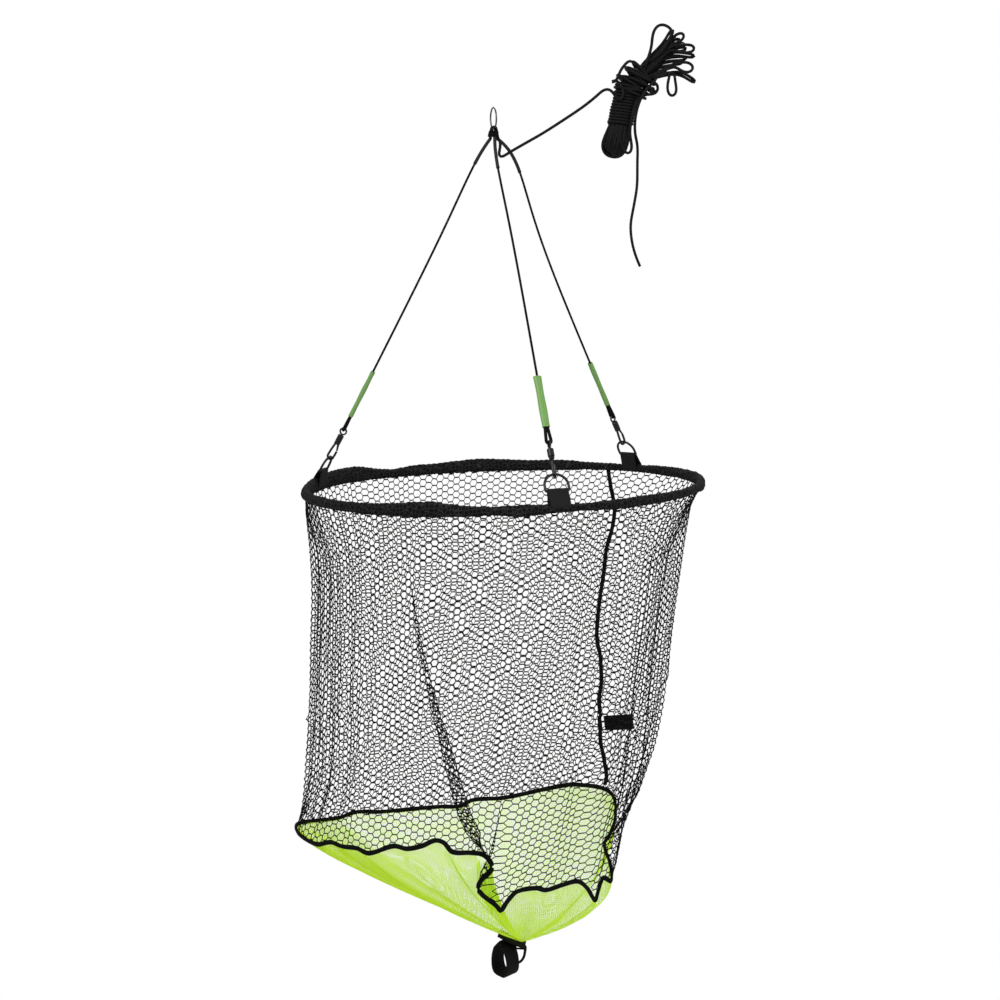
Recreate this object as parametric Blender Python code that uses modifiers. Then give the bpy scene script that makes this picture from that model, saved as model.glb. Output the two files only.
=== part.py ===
"""Drop net for lowering a catch from a pier: a hoop on three clipped legs, a mesh bag and its rope.

Metres, +Z up. The origin is where a hook carries the hang ring, inside the top of its wire.
The camera of the photograph looks along +Y, so -Y is the front and +X the right.
"""

import math

import bmesh
import bpy
from mathutils import Matrix, Vector

GAP = 0.0003

# Hang ring and the lashing under it
RING_RADIUS = 0.0155
RING_WIRE_RADIUS = 0.0011
RING_TURN = math.radians(16.0)
RING_LOOP_CORD = 0.0015
RING_LOOP_CLEARANCE = 0.0006
RING_LOOP_STEP = 0.0034
LASHING_BELOW_RING = 0.0052
LASHING_HEIGHT = 0.0110
LASHING_TOP_RADIUS = 0.0062
LASHING_ROUNDING = 0.0009

# Hoop and its fabric hem
HOOP_RADIUS = 0.2955
HOOP_ROD_RADIUS = 0.0040
HOOP_BELOW_RING = 0.5271
HOOP_STEPS = 40
HEM_THICKNESS = 0.0021
HEM_SLOT_HALF = 0.0012

# Legs: the three ways down from the lashing to the hoop
LEG_CORD_RADIUS = 0.0017
UPPER_SLEEVE_WALL = 0.0005
LEG_STRAIGHT_DROP = 0.0040
LEG_POINTS = 19
LEG_GRADING = 1.6
LEG_BOW_PEAK = 0.070
GREEN_SLEEVE_LENGTH = 0.078
GREEN_SLEEVE_WALL = 0.0012
SLEEVE_CORD_CLEARANCE = 0.0004
CORD_END_IN_SLEEVE = 0.010
LEGS = {
    "front": {"angle": -75.0, "sleeve": 0.053, "bow": (-0.0035, 0.0, 0.0), "gate_turn": 180.0},
    "right": {"angle": 45.0, "sleeve": 0.066, "bow": (0.0170, 0.0, 0.0050), "gate_turn": 180.0},
    "left": {"angle": 165.0, "sleeve": 0.046, "bow": (-0.0010, 0.0, 0.0), "gate_turn": 0.0},
}

# D-rings and the webbing tabs that carry them
BAR_ABOVE_HOOP = 0.0228
BAR_INSIDE_HOOP = 0.0100
D_WIRE_RADIUS = 0.0016
D_HALF_WIDTH = 0.0169
D_HEIGHT = 0.0247
D_CORNER_RADIUS = 0.0025
D_ARCH_STEPS = 10
TAB_WIDTH = 0.0290
TAB_THICKNESS = 0.0016
TAB_WRAP = math.radians(50.0)

# Swivel snap clips, measured up from the wire of the D-ring's arch
HOOK_RADIUS = 0.0018
HOOK_BEND_RADIUS = 0.0046
HOOK_SEAT_CLEARANCE = 0.0004
SPINE_TOP_OFFSET = 0.0022
NOSE_TOP = 0.0120
NOSE_FLARE = 0.0007
NECK_BOTTOM = 0.0220
NECK_HALF_WIDTH = 0.0041
NECK_HALF_DEPTH = 0.0030
BARREL_BOTTOM = 0.0260
BARREL_TOP = 0.0385
BARREL_RADIUS = 0.00475
BARREL_FLOOR = 0.0040
BARREL_LID = 0.0040
EYE_RADIUS = 0.0050
EYE_WIRE_RADIUS = 0.0014
EYE_ABOVE_BARREL = 0.0066
SHANK_HEAD_RADIUS = 0.0027
SHANK_HEAD_HEIGHT = 0.0020
GATE_PIN_RADIUS = 0.00075
GATE_PIN_HEIGHT = 0.0245
GATE_PIN_OFFSET = 0.0020
GATE_THICKNESS = 0.0020
GATE_TIP_WIDTH = 0.0020
GATE_END_RADIUS = 0.0018
GATE_TIP_CLEARANCE = 0.0005

# The bag: the seam between the black wall and the green bottom, as depths below the hoop
SEAM_CENTRE_X = -0.089
SEAM_HALF_WIDTH = 0.239
SEAM_HALF_DEPTH = 0.200
SEAM_DEPTHS = (
    (0.0, 0.541), (17.0, 0.500), (38.0, 0.496), (71.0, 0.533), (97.0, 0.548), (140.0, 0.541),
    (180.0, 0.514), (228.0, 0.504), (262.0, 0.493), (279.0, 0.521), (295.0, 0.568), (314.0, 0.574),
    (331.0, 0.598), (346.0, 0.577),
)
NET_WALL = 0.0015
WALL_RINGS = 7
WALL_COLLAR = 0.010
WALL_BULGE_MEAN = 0.0015
WALL_BULGE_SIDE = 0.0165
BINDING_RADIUS = 0.0030
BINDING_CLEARANCE = 0.0006
BOTTOM_RINGS = 5
BOTTOM_DEPTH = 0.7000
BOTTOM_TIP_X = -0.006
BOTTOM_TIP_Y = -0.020
BOTTOM_FLAT_RADIUS = 0.013
BOTTOM_FULLNESS = 0.62
BOTTOM_FULLNESS_SIDE = -0.17

# Side seam and its pull tab, on the outside of the wall
SIDE_SEAM_TOP_ANGLE = 51.5
SIDE_SEAM_DRIFT = 5.0
SIDE_SEAM_LOW_DRIFT = 22.0
SIDE_SEAM_RADIUS = 0.0022
SIDE_SEAM_POINTS = 15
SIDE_TAB_DEPTH = 0.413
SIDE_TAB_LENGTH = 0.045
SIDE_TAB_WIDTH = 0.025
SIDE_TAB_WEBBING = 0.0014
SIDE_TAB_LOOP_HALF = 0.0009

# Carry strap under the tip
ANCHOR_LENGTH = 0.044
ANCHOR_WIDTH = 0.030
ANCHOR_YAW = math.radians(15.0)
ANCHOR_THICKNESS = 0.0030
ANCHOR_EAR_WIDTH = 0.0080
ANCHOR_EAR_HEIGHT = 0.0075
ANCHOR_EAR_INSET = 0.0012
ANCHOR_EAR_DROP = 0.0038
ANCHOR_EAR_THICKNESS = 0.0030
ANCHOR_EYE_CLEARANCE = 0.0010
STRAP_SHIFT = -0.0120
STRAP_WIDTH = 0.028
STRAP_THICKNESS = 0.0028
STRAP_LENGTH = 0.049
STRAP_HALF_ACROSS = 0.0105
STRAP_FLARE = 0.30
STRAP_YAW = math.radians(53.0)
STRAP_STEPS = 24
CORD_RING_CORD = 0.0012
CORD_RING_LENGTH = 0.024
CORD_RING_HALF_ACROSS = 0.0055

# Rope: lead, hank and tail
ROPE_RADIUS = 0.0020
NEST_STEP = 0.0051
LAYER_STEP = 0.0047
NEST_LOOPS = 3
HANK_LAYERS = 4
HANK_LENGTH = 0.218
HANK_BULB_RADIUS = 0.0210
HANK_TOP_RADIUS = 0.0250
HANK_WAIST_START = 0.042
HANK_WAIST_END = 0.108
HANK_TOP_START = 0.152
HANK_FAN = 0.55
NEST_FAN = 0.18
HANK_SPLAY = (-0.015, -0.004, 0.006, 0.014)
HANK_BIGHT_POINTS = 8
HANK_RUN_SHARES = (0.125, 0.50, 0.80)
WRAP_TURNS = 12.055
WRAP_START = 0.0475
WRAP_PITCH = 0.0048
WRAP_HALF_WIDTH = 0.0214
WRAP_HALF_DEPTH = 0.0143
WRAP_SQUARENESS = 6.0
WRAP_START_ANGLE = math.radians(80.0)
WRAP_POINTS = 15
TAIL_MEETS_HANK = (0.0130, 0.0310)
TAIL_TURN = (0.0120, -0.0010, 0.0)
FIRST_LOOP_TURN = (0.0120, -0.0070, 0.0)
TAIL_TURN_POINTS = 4
TURN_TO_WRAPS = ((0.0270, 0.0222, 0.0112), (0.0370, 0.0222, 0.0116), (0.0445, 0.0178, 0.0130))
TURN_TO_WRAPS_POINTS = 9
WRAPS_TO_LEAD = (
    (0.0003, -0.0055, 0.0), (0.0, -0.0110, 0.0), (-0.0016, -0.0158, -0.0003), (-0.0048, -0.0195, -0.0006),
)
HANK_FOOT = (0.1785, 0.0, -0.0775)
HANK_LEAN = 0.10
HANK_BEND_START = 0.107
HANK_BEND = 7.2
LEAD_EXIT_RADIUS = 0.0055
LEAD_EXIT_ANGLE = math.radians(-15.0)
LEAD_ROUTE = (
    (0.0090, -0.0020, -0.0600), (0.0150, -0.0030, -0.0670), (0.0245, -0.0030, -0.0640),
    (0.0468, -0.0020, -0.0511), (0.0870, -0.0020, -0.0290), (0.1270, -0.0080, -0.0087),
)
TAIL_ROUTE = (
    (0.2095, 0.0060, -0.0960), (0.2087, 0.0030, -0.1177), (0.2038, 0.0000, -0.1453),
    (0.1983, 0.0000, -0.1740), (0.1999, 0.0000, -0.1993), (0.2048, 0.0000, -0.2190),
)
TAIL_END = (0.2112, 0.0, -0.2357)
ROPE_SPACING = 0.0115

HALF_TURN = math.pi
FULL_TURN = 2.0 * math.pi
RING_BOTTOM = Vector((0.0, 0.0, RING_WIRE_RADIUS - 2.0 * RING_RADIUS))
HOOP_HEIGHT = RING_BOTTOM.z - HOOP_BELOW_RING
LASHING_TOP = RING_BOTTOM.z - LASHING_BELOW_RING
LASHING_BOTTOM = LASHING_TOP - LASHING_HEIGHT
UPPER_SLEEVE_INNER = LEG_CORD_RADIUS + GAP
UPPER_SLEEVE_RADIUS = UPPER_SLEEVE_INNER + UPPER_SLEEVE_WALL
SLEEVE_CIRCLE = (2.0 * UPPER_SLEEVE_RADIUS + GAP) / math.sqrt(3.0)
HEM_INNER = HOOP_ROD_RADIUS + GAP
HEM_RADIUS = HEM_INNER + HEM_THICKNESS
NET_TOP = HOOP_HEIGHT - HOOP_ROD_RADIUS - 2.0 * GAP
HOOK_DROP = D_WIRE_RADIUS + HOOK_SEAT_CLEARANCE + HOOK_RADIUS
EYE_CENTRE = BARREL_TOP + EYE_ABOVE_BARREL
EYE_TOP = D_HEIGHT + EYE_CENTRE + EYE_RADIUS
BIGHT_BOTTOM = EYE_TOP - EYE_WIRE_RADIUS - GAP - LEG_CORD_RADIUS
BIGHT_HALF = EYE_WIRE_RADIUS + GAP + LEG_CORD_RADIUS
GREEN_SLEEVE_BOTTOM = BIGHT_BOTTOM + 0.0185
GREEN_SLEEVE_TOP = GREEN_SLEEVE_BOTTOM + GREEN_SLEEVE_LENGTH

PAINTS = {
    "bright_steel": ((0.62, 0.63, 0.65), 0.25, 1.0),
    "dark_steel": ((0.045, 0.045, 0.048), 0.35, 1.0),
    "black_cord": ((0.012, 0.012, 0.012), 0.85, 0.0),
    "grey_tube": ((0.035, 0.035, 0.037), 0.45, 0.0),
    "green_tube": ((0.12, 0.32, 0.07), 0.40, 0.0),
    "black_webbing": ((0.016, 0.016, 0.017), 0.80, 0.0),
    "black_net": ((0.010, 0.010, 0.010), 0.70, 0.0),
    "green_net": ((0.36, 0.62, 0.03), 0.60, 0.0),
    "painted_rod": ((0.02, 0.02, 0.02), 0.50, 0.0),
}


def clear_scene():
    """Empty the file of objects, so that the model is all it holds."""
    for old in list(bpy.data.objects):
        bpy.data.objects.remove(old, do_unlink=True)


def make_collection(name):
    """Return a new collection linked to the scene."""
    collection = bpy.data.collections.new(name)
    bpy.context.scene.collection.children.link(collection)
    return collection


def make_material(part_name, paint):
    """Return a part's own material in one of the paints."""
    colour, roughness, metallic = PAINTS[paint]
    material = bpy.data.materials.new(part_name + "_finish")
    material.use_nodes = True
    shader = material.node_tree.nodes["Principled BSDF"]
    shader.inputs["Base Color"].default_value = (*colour, 1.0)
    shader.inputs["Roughness"].default_value = roughness
    shader.inputs["Metallic"].default_value = metallic
    return material


def add_part(part, paint):
    """Move an object into the model's collection and give it its finish."""
    for collection in list(part.users_collection):
        collection.objects.unlink(part)
    PARTS.objects.link(part)
    part.data.materials.clear()
    part.data.materials.append(make_material(part.name, paint))
    return part


def add_cutter(cutter):
    """Hide a cutting shape and keep it apart from the model."""
    for collection in list(cutter.users_collection):
        collection.objects.unlink(cutter)
    CUTTERS.objects.link(cutter)
    cutter.hide_render = True
    cutter.display_type = "WIRE"
    return cutter


def link_mesh(name, mesh, frame=None):
    """Return a new object for a mesh, placed by a matrix."""
    thing = bpy.data.objects.new(name, mesh)
    bpy.context.scene.collection.objects.link(thing)
    if frame is not None:
        thing.matrix_world = frame
    return thing


def shade_round(thing, angle=40.0):
    """Shade smooth between faces that meet at less than an angle in degrees."""
    thing.data.shade_smooth()
    thing.data.set_sharp_from_angle(angle=math.radians(angle))


def route_curve(name, points, radius, resolution=2, cyclic=False, capped=True, frame=None):
    """Return a round wire or cord along a list of points."""
    data = bpy.data.curves.new(name, "CURVE")
    data.dimensions = "3D"
    data.bevel_depth = radius
    data.bevel_resolution = resolution
    data.use_fill_caps = capped
    data.twist_mode = "MINIMUM"
    spline = data.splines.new("POLY")
    spline.points.add(len(points) - 1)
    for spot, point in zip(spline.points, points):
        spot.co = (point[0], point[1], point[2], 1.0)
    spline.use_cyclic_u = cyclic
    thing = bpy.data.objects.new(name, data)
    bpy.context.scene.collection.objects.link(thing)
    if frame is not None:
        thing.matrix_world = frame
    return thing


def mesh_from_curve(curve):
    """Turn a curve object into a mesh object with welded caps, in the same place."""
    bpy.context.view_layer.update()
    shaped = curve.evaluated_get(bpy.context.evaluated_depsgraph_get())
    mesh = bpy.data.meshes.new_from_object(shaped)
    work = bmesh.new()
    work.from_mesh(mesh)
    bmesh.ops.remove_doubles(work, verts=work.verts, dist=0.000001)
    work.to_mesh(mesh)
    work.free()
    name = curve.name
    place = curve.matrix_world.copy()
    bpy.data.objects.remove(curve, do_unlink=True)
    return link_mesh(name, mesh, place)


def outline_plate(name, loops, thickness, frame):
    """Return a flat plate from closed outlines in its own XY plane; later loops are holes."""
    data = bpy.data.curves.new(name, "CURVE")
    data.dimensions = "2D"
    data.fill_mode = "BOTH"
    data.extrude = thickness / 2.0
    for loop in loops:
        spline = data.splines.new("POLY")
        spline.points.add(len(loop) - 1)
        for spot, point in zip(spline.points, loop):
            spot.co = (point[0], point[1], 0.0, 1.0)
        spline.use_cyclic_u = True
    thing = bpy.data.objects.new(name, data)
    bpy.context.scene.collection.objects.link(thing)
    thing.matrix_world = frame
    return mesh_from_curve(thing)


def turned(name, profile, steps, frame):
    """Return a turned solid: a profile at +X, which runs down its outer side, turned about Z."""
    mesh = bpy.data.meshes.new(name)
    points = [(x, 0.0, z) for x, z in profile]
    edges = [(i, i + 1) for i in range(len(points) - 1)]
    mesh.from_pydata(points, edges, [])
    thing = link_mesh(name, mesh, frame)
    screw = thing.modifiers.new("turn", "SCREW")
    screw.steps = steps
    screw.render_steps = steps
    screw.use_merge_vertices = True
    screw.merge_threshold = 0.00001
    screw.use_smooth_shade = False
    return thing


def cylinder(name, radius, depth, frame, vertices=16):
    """Return a solid cylinder about its own Z axis."""
    mesh = bpy.data.meshes.new(name)
    work = bmesh.new()
    bmesh.ops.create_cone(work, cap_ends=True, segments=vertices, radius1=radius, radius2=radius, depth=depth)
    work.to_mesh(mesh)
    work.free()
    return link_mesh(name, mesh, frame)


def block(name, size, frame):
    """Return a box of a size, centred on its frame."""
    mesh = bpy.data.meshes.new(name)
    work = bmesh.new()
    bmesh.ops.create_cube(work, size=1.0, matrix=Matrix.Diagonal((*size, 1.0)))
    work.to_mesh(mesh)
    work.free()
    return link_mesh(name, mesh, frame)


def combine(part, tool, operation):
    """Join a tool to a part, or cut the part with it."""
    add_cutter(tool)
    change = part.modifiers.new(operation.lower() + "_" + tool.name, "BOOLEAN")
    change.operation = operation
    change.solver = "EXACT"
    change.object = tool


def shift(x, y, z):
    """Return a move as a matrix."""
    return Matrix.Translation((x, y, z))


def smooth_curve(points):
    """Return a dense smooth curve through a route's own points."""
    knots = [Vector(p) for p in points]
    knots = [2.0 * knots[0] - knots[1]] + knots + [2.0 * knots[-1] - knots[-2]]
    dense = []
    for i in range(1, len(knots) - 2):
        for k in range(24):
            dense.append(spline_point(knots[i - 1:i + 3], k / 24.0))
    dense.append(knots[-2])
    return dense


def smooth_route(points, spacing):
    """Return a smooth route with its first and last stretches left straight."""
    dense = smooth_curve(points)
    first = (Vector(points[1]) - Vector(points[0])).length
    last = (Vector(points[-1]) - Vector(points[-2])).length
    middle = part_of_route(dense, first, route_length(dense) - last)
    count = 2 + int(route_length(middle) / spacing)
    return [Vector(points[0])] + even_points(middle, count) + [Vector(points[-1])]


def spline_point(four, t):
    """Return a point between the middle two of four points of a smooth curve."""
    a, b, c, d = four
    square = t * t
    cube = square * t
    return 0.5 * (2.0 * b + (c - a) * t + (2.0 * a - 5.0 * b + 4.0 * c - d) * square
                  + (3.0 * b - a - 3.0 * c + d) * cube)


def even_points(dense, count, grading=1.0):
    """Return points along a dense list of points, closer together at its start where grading is over 1."""
    lengths = [0.0]
    for a, b in zip(dense, dense[1:]):
        lengths.append(lengths[-1] + (b - a).length)
    result = []
    place = 0
    for k in range(count):
        target = lengths[-1] * (k / (count - 1.0)) ** grading
        while place < len(dense) - 2 and lengths[place + 1] < target:
            place += 1
        span = lengths[place + 1] - lengths[place]
        share = (target - lengths[place]) / span if span > 0.0 else 0.0
        result.append(dense[place].lerp(dense[place + 1], min(1.0, share)))
    return result


def route_length(points):
    """Return the length of a path."""
    return sum((b - a).length for a, b in zip(points, points[1:]))


def point_along(points, distance):
    """Return the point at a distance along a path, or its end where the path is shorter."""
    for a, b in zip(points, points[1:]):
        step = (b - a).length
        if distance <= step:
            return a.lerp(b, distance / step)
        distance -= step
    return points[-1].copy()


def part_of_route(points, start, end):
    """Return a path's stretch between two distances along it."""
    kept = [point_along(points, start)]
    walked = 0.0
    for a, b in zip(points, points[1:]):
        walked += (b - a).length
        if start + 0.001 < walked < end - 0.001:
            kept.append(b.copy())
    kept.append(point_along(points, end))
    return kept


def swept_sleeve(name, points, radius, wall):
    """Return a soft tube with a bore along a path."""
    skin = mesh_from_curve(route_curve(name, points, radius, capped=False))
    shell = skin.modifiers.new("wall", "SOLIDIFY")
    shell.thickness = wall
    shell.offset = -1.0
    shell.use_even_offset = True
    shade_round(skin)
    return skin


def leg_radial(leg):
    """Return the outward direction at a leg's place on the hoop."""
    angle = math.radians(LEGS[leg]["angle"])
    return Vector((math.cos(angle), math.sin(angle), 0.0))


def leg_tangent(leg):
    """Return the direction along the hoop at a leg's place."""
    angle = math.radians(LEGS[leg]["angle"])
    return Vector((-math.sin(angle), math.cos(angle), 0.0))


def bar_centre(leg):
    """Return the middle of a D-ring's straight bar."""
    return leg_radial(leg) * (HOOP_RADIUS - BAR_INSIDE_HOOP) + Vector((0.0, 0.0, HOOP_HEIGHT + BAR_ABOVE_HOOP))


def leg_top(leg):
    """Return where a leg's cord leaves the lashing."""
    return leg_radial(leg) * SLEEVE_CIRCLE + Vector((0.0, 0.0, LASHING_BOTTOM - GAP))


def leg_axis(leg):
    """Return the direction up a leg, from the bar towards the lashing."""
    below_top = leg_top(leg) - Vector((0.0, 0.0, LEG_STRAIGHT_DROP))
    return (below_top - bar_centre(leg)).normalized()


def leg_frame(leg):
    """Return a leg's frame: X along the hoop, Y inwards, Z up the leg, zero at the bar."""
    x = leg_tangent(leg)
    z = leg_axis(leg)
    y = z.cross(x)
    frame = Matrix((x, y, z)).transposed().to_4x4()
    frame.translation = bar_centre(leg)
    return frame


def clip_frame(leg):
    """Return a clip's frame: zero on the D-ring's wire, Y towards the gate, Z up the leg."""
    turn = Matrix.Rotation(math.radians(LEGS[leg]["gate_turn"]), 4, "Z")
    return leg_frame(leg) @ shift(0.0, 0.0, D_HEIGHT) @ turn


def leg_route(leg):
    """Return the path of a leg's cord, from the lashing to its end inside the green sleeve."""
    top = leg_top(leg)
    start = top - Vector((0.0, 0.0, LEG_STRAIGHT_DROP))
    end = bar_centre(leg) + leg_axis(leg) * (GREEN_SLEEVE_BOTTOM + CORD_END_IN_SLEEVE)
    free = (bar_centre(leg) + leg_axis(leg) * GREEN_SLEEVE_TOP - start).length
    bow = Vector(LEGS[leg]["bow"])
    knots = [top, start]
    for k in range(1, 15):
        share = (k / 14.0) ** 1.5
        along = start.lerp(end, share)
        run = (along - start).length
        reach = run / LEG_BOW_PEAK
        fade = max(0.0, 1.0 - run / free) ** 2
        knots.append(along + bow * reach * math.exp(1.0 - reach) * fade)
    return [top] + even_points(part_of_route(smooth_curve(knots), LEG_STRAIGHT_DROP, 1.0), LEG_POINTS, LEG_GRADING)


def build_hang_ring():
    """Build the ring that the whole net hangs from."""
    steps = 20
    facing = Matrix.Rotation(HALF_TURN / 2.0, 4, "Y")
    facing = Matrix.Rotation(RING_TURN, 4, "Z") @ facing
    centre = shift(0.0, 0.0, RING_WIRE_RADIUS - RING_RADIUS)
    points = []
    for k in range(steps):
        angle = FULL_TURN * k / steps
        points.append((RING_RADIUS * math.cos(angle), RING_RADIUS * math.sin(angle), 0.0))
    ring = mesh_from_curve(route_curve("hang_ring", points, RING_WIRE_RADIUS, cyclic=True, frame=centre @ facing))
    shade_round(ring)
    return add_part(ring, "bright_steel")


def ring_frame():
    """Return a frame at the ring's lowest wire: X across the ring, Y along the wire."""
    frame = Matrix.Rotation(RING_TURN, 4, "Z")
    frame.translation = RING_BOTTOM
    return frame


def build_ring_loops():
    """Build the three cord loops that hold the ring, one for each leg."""
    bend = RING_WIRE_RADIUS + RING_LOOP_CLEARANCE + RING_LOOP_CORD
    for place, leg in enumerate(LEGS):
        along = (place - 1) * RING_LOOP_STEP
        rise = RING_RADIUS - math.sqrt(RING_RADIUS ** 2 - along ** 2)
        foot = LASHING_TOP + GAP - RING_BOTTOM.z
        points = [Vector((-bend, along, foot))]
        for k in range(9):
            angle = HALF_TURN * (1.0 - k / 8.0)
            points.append(Vector((bend * math.cos(angle), along, rise + bend * math.sin(angle))))
        points.append(Vector((bend, along, foot)))
        loop = mesh_from_curve(route_curve("ring_loop_" + leg, points, RING_LOOP_CORD, frame=ring_frame()))
        shade_round(loop)
        add_part(loop, "black_cord")


def build_lashing():
    """Build the bound cone of cord under the ring."""
    bottom_radius = LEAD_EXIT_RADIUS + ROPE_RADIUS + GAP
    height = LASHING_HEIGHT
    profile = [
        (0.0, height),
        (LASHING_TOP_RADIUS - LASHING_ROUNDING, height),
        (LASHING_TOP_RADIUS, height - LASHING_ROUNDING),
        (LASHING_TOP_RADIUS * 0.5 + bottom_radius * 0.5 + 0.0004, height * 0.5),
        (bottom_radius, LASHING_ROUNDING),
        (bottom_radius - LASHING_ROUNDING * 0.5, 0.0),
        (0.0, 0.0),
    ]
    lashing = turned("lashing", profile, 20, shift(0.0, 0.0, LASHING_BOTTOM))
    shade_round(lashing)
    return add_part(lashing, "black_cord")


def build_leg_cords():
    """Build each leg's cord and the grey tube over its top."""
    for leg, facts in LEGS.items():
        points = leg_route(leg)
        cord = route_curve("leg_cord_" + leg, points, LEG_CORD_RADIUS)
        add_part(cord, "black_cord")
        stretch = part_of_route(points, GAP, facts["sleeve"])
        tube = swept_sleeve("upper_sleeve_" + leg, stretch, UPPER_SLEEVE_RADIUS, UPPER_SLEEVE_WALL)
        add_part(tube, "grey_tube")


def build_green_sleeves():
    """Build the oval green tube over the doubled cord of each leg."""
    half_across = BIGHT_HALF + LEG_CORD_RADIUS + SLEEVE_CORD_CLEARANCE + GREEN_SLEEVE_WALL
    half_thick = LEG_CORD_RADIUS + SLEEVE_CORD_CLEARANCE + GREEN_SLEEVE_WALL
    for leg in LEGS:
        middle = shift(0.0, 0.0, (GREEN_SLEEVE_BOTTOM + GREEN_SLEEVE_TOP) / 2.0)
        mesh = bpy.data.meshes.new("green_sleeve_" + leg)
        work = bmesh.new()
        bmesh.ops.create_cone(work, cap_ends=False, segments=16, radius1=1.0, radius2=1.0, depth=1.0,
                              matrix=Matrix.Diagonal((half_across, half_thick, GREEN_SLEEVE_LENGTH, 1.0)))
        work.to_mesh(mesh)
        work.free()
        sleeve = link_mesh("green_sleeve_" + leg, mesh, leg_frame(leg) @ middle)
        wall = sleeve.modifiers.new("wall", "SOLIDIFY")
        wall.thickness = GREEN_SLEEVE_WALL
        wall.offset = -1.0
        wall.use_even_offset = True
        shade_round(sleeve)
        add_part(sleeve, "green_tube")


def build_cord_loops():
    """Build the cord bight that comes out of each green sleeve and through the swivel's eye."""
    for leg in LEGS:
        bottom = BIGHT_BOTTOM + BIGHT_HALF - D_HEIGHT
        top = GREEN_SLEEVE_BOTTOM - GAP - D_HEIGHT
        points = [Vector((-BIGHT_HALF, 0.0, top))]
        for k in range(9):
            angle = HALF_TURN + HALF_TURN * k / 8.0
            points.append(Vector((BIGHT_HALF * math.cos(angle), 0.0, bottom + BIGHT_HALF * math.sin(angle))))
        points.append(Vector((BIGHT_HALF, 0.0, top)))
        frame = leg_frame(leg) @ shift(0.0, 0.0, D_HEIGHT)
        loop = mesh_from_curve(route_curve("cord_loop_" + leg, points, LEG_CORD_RADIUS, frame=frame))
        shade_round(loop)
        add_part(loop, "black_cord")


def build_swivel_eyes():
    """Build the ring and headed shank that turn in each clip's barrel."""
    head_bottom = BARREL_BOTTOM + BARREL_FLOOR + GAP
    for leg in LEGS:
        points = []
        for k in range(16):
            angle = FULL_TURN * k / 16.0
            points.append((0.0, EYE_RADIUS * math.sin(angle), EYE_CENTRE + EYE_RADIUS * math.cos(angle)))
        frame = clip_frame(leg)
        eye = mesh_from_curve(route_curve("swivel_eye_" + leg, points, EYE_WIRE_RADIUS, resolution=1, cyclic=True,
                                          frame=frame))
        foot = EYE_CENTRE - EYE_RADIUS
        profile = [
            (0.0, foot - head_bottom),
            (EYE_WIRE_RADIUS, foot - head_bottom),
            (EYE_WIRE_RADIUS, SHANK_HEAD_HEIGHT),
            (SHANK_HEAD_RADIUS, SHANK_HEAD_HEIGHT),
            (SHANK_HEAD_RADIUS, 0.0),
            (0.0, 0.0),
        ]
        shank = turned("shank_" + leg, profile, 16, frame @ shift(0.0, 0.0, head_bottom))
        combine(eye, shank, "UNION")
        shade_round(eye)
        add_part(eye, "dark_steel")


def hook_points():
    """Return the path of a clip's hook wire in the clip's YZ plane."""
    centre = HOOK_BEND_RADIUS - HOOK_DROP
    points = [
        Vector((0.0, -SPINE_TOP_OFFSET, BARREL_BOTTOM + 0.001)),
        Vector((0.0, -SPINE_TOP_OFFSET - 0.0001, NECK_BOTTOM + 0.001)),
        Vector((0.0, -(SPINE_TOP_OFFSET + HOOK_BEND_RADIUS) / 2.0 - 0.0004, NOSE_TOP)),
        Vector((0.0, -HOOK_BEND_RADIUS + 0.0001, centre + 0.003)),
    ]
    for k in range(9):
        angle = HALF_TURN + HALF_TURN * k / 8.0
        points.append(Vector((0.0, HOOK_BEND_RADIUS * math.cos(angle), centre + HOOK_BEND_RADIUS * math.sin(angle))))
    points.append(Vector((0.0, HOOK_BEND_RADIUS + NOSE_FLARE * 0.7, (centre + NOSE_TOP) / 2.0)))
    points.append(Vector((0.0, HOOK_BEND_RADIUS + NOSE_FLARE, NOSE_TOP)))
    return points


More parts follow.
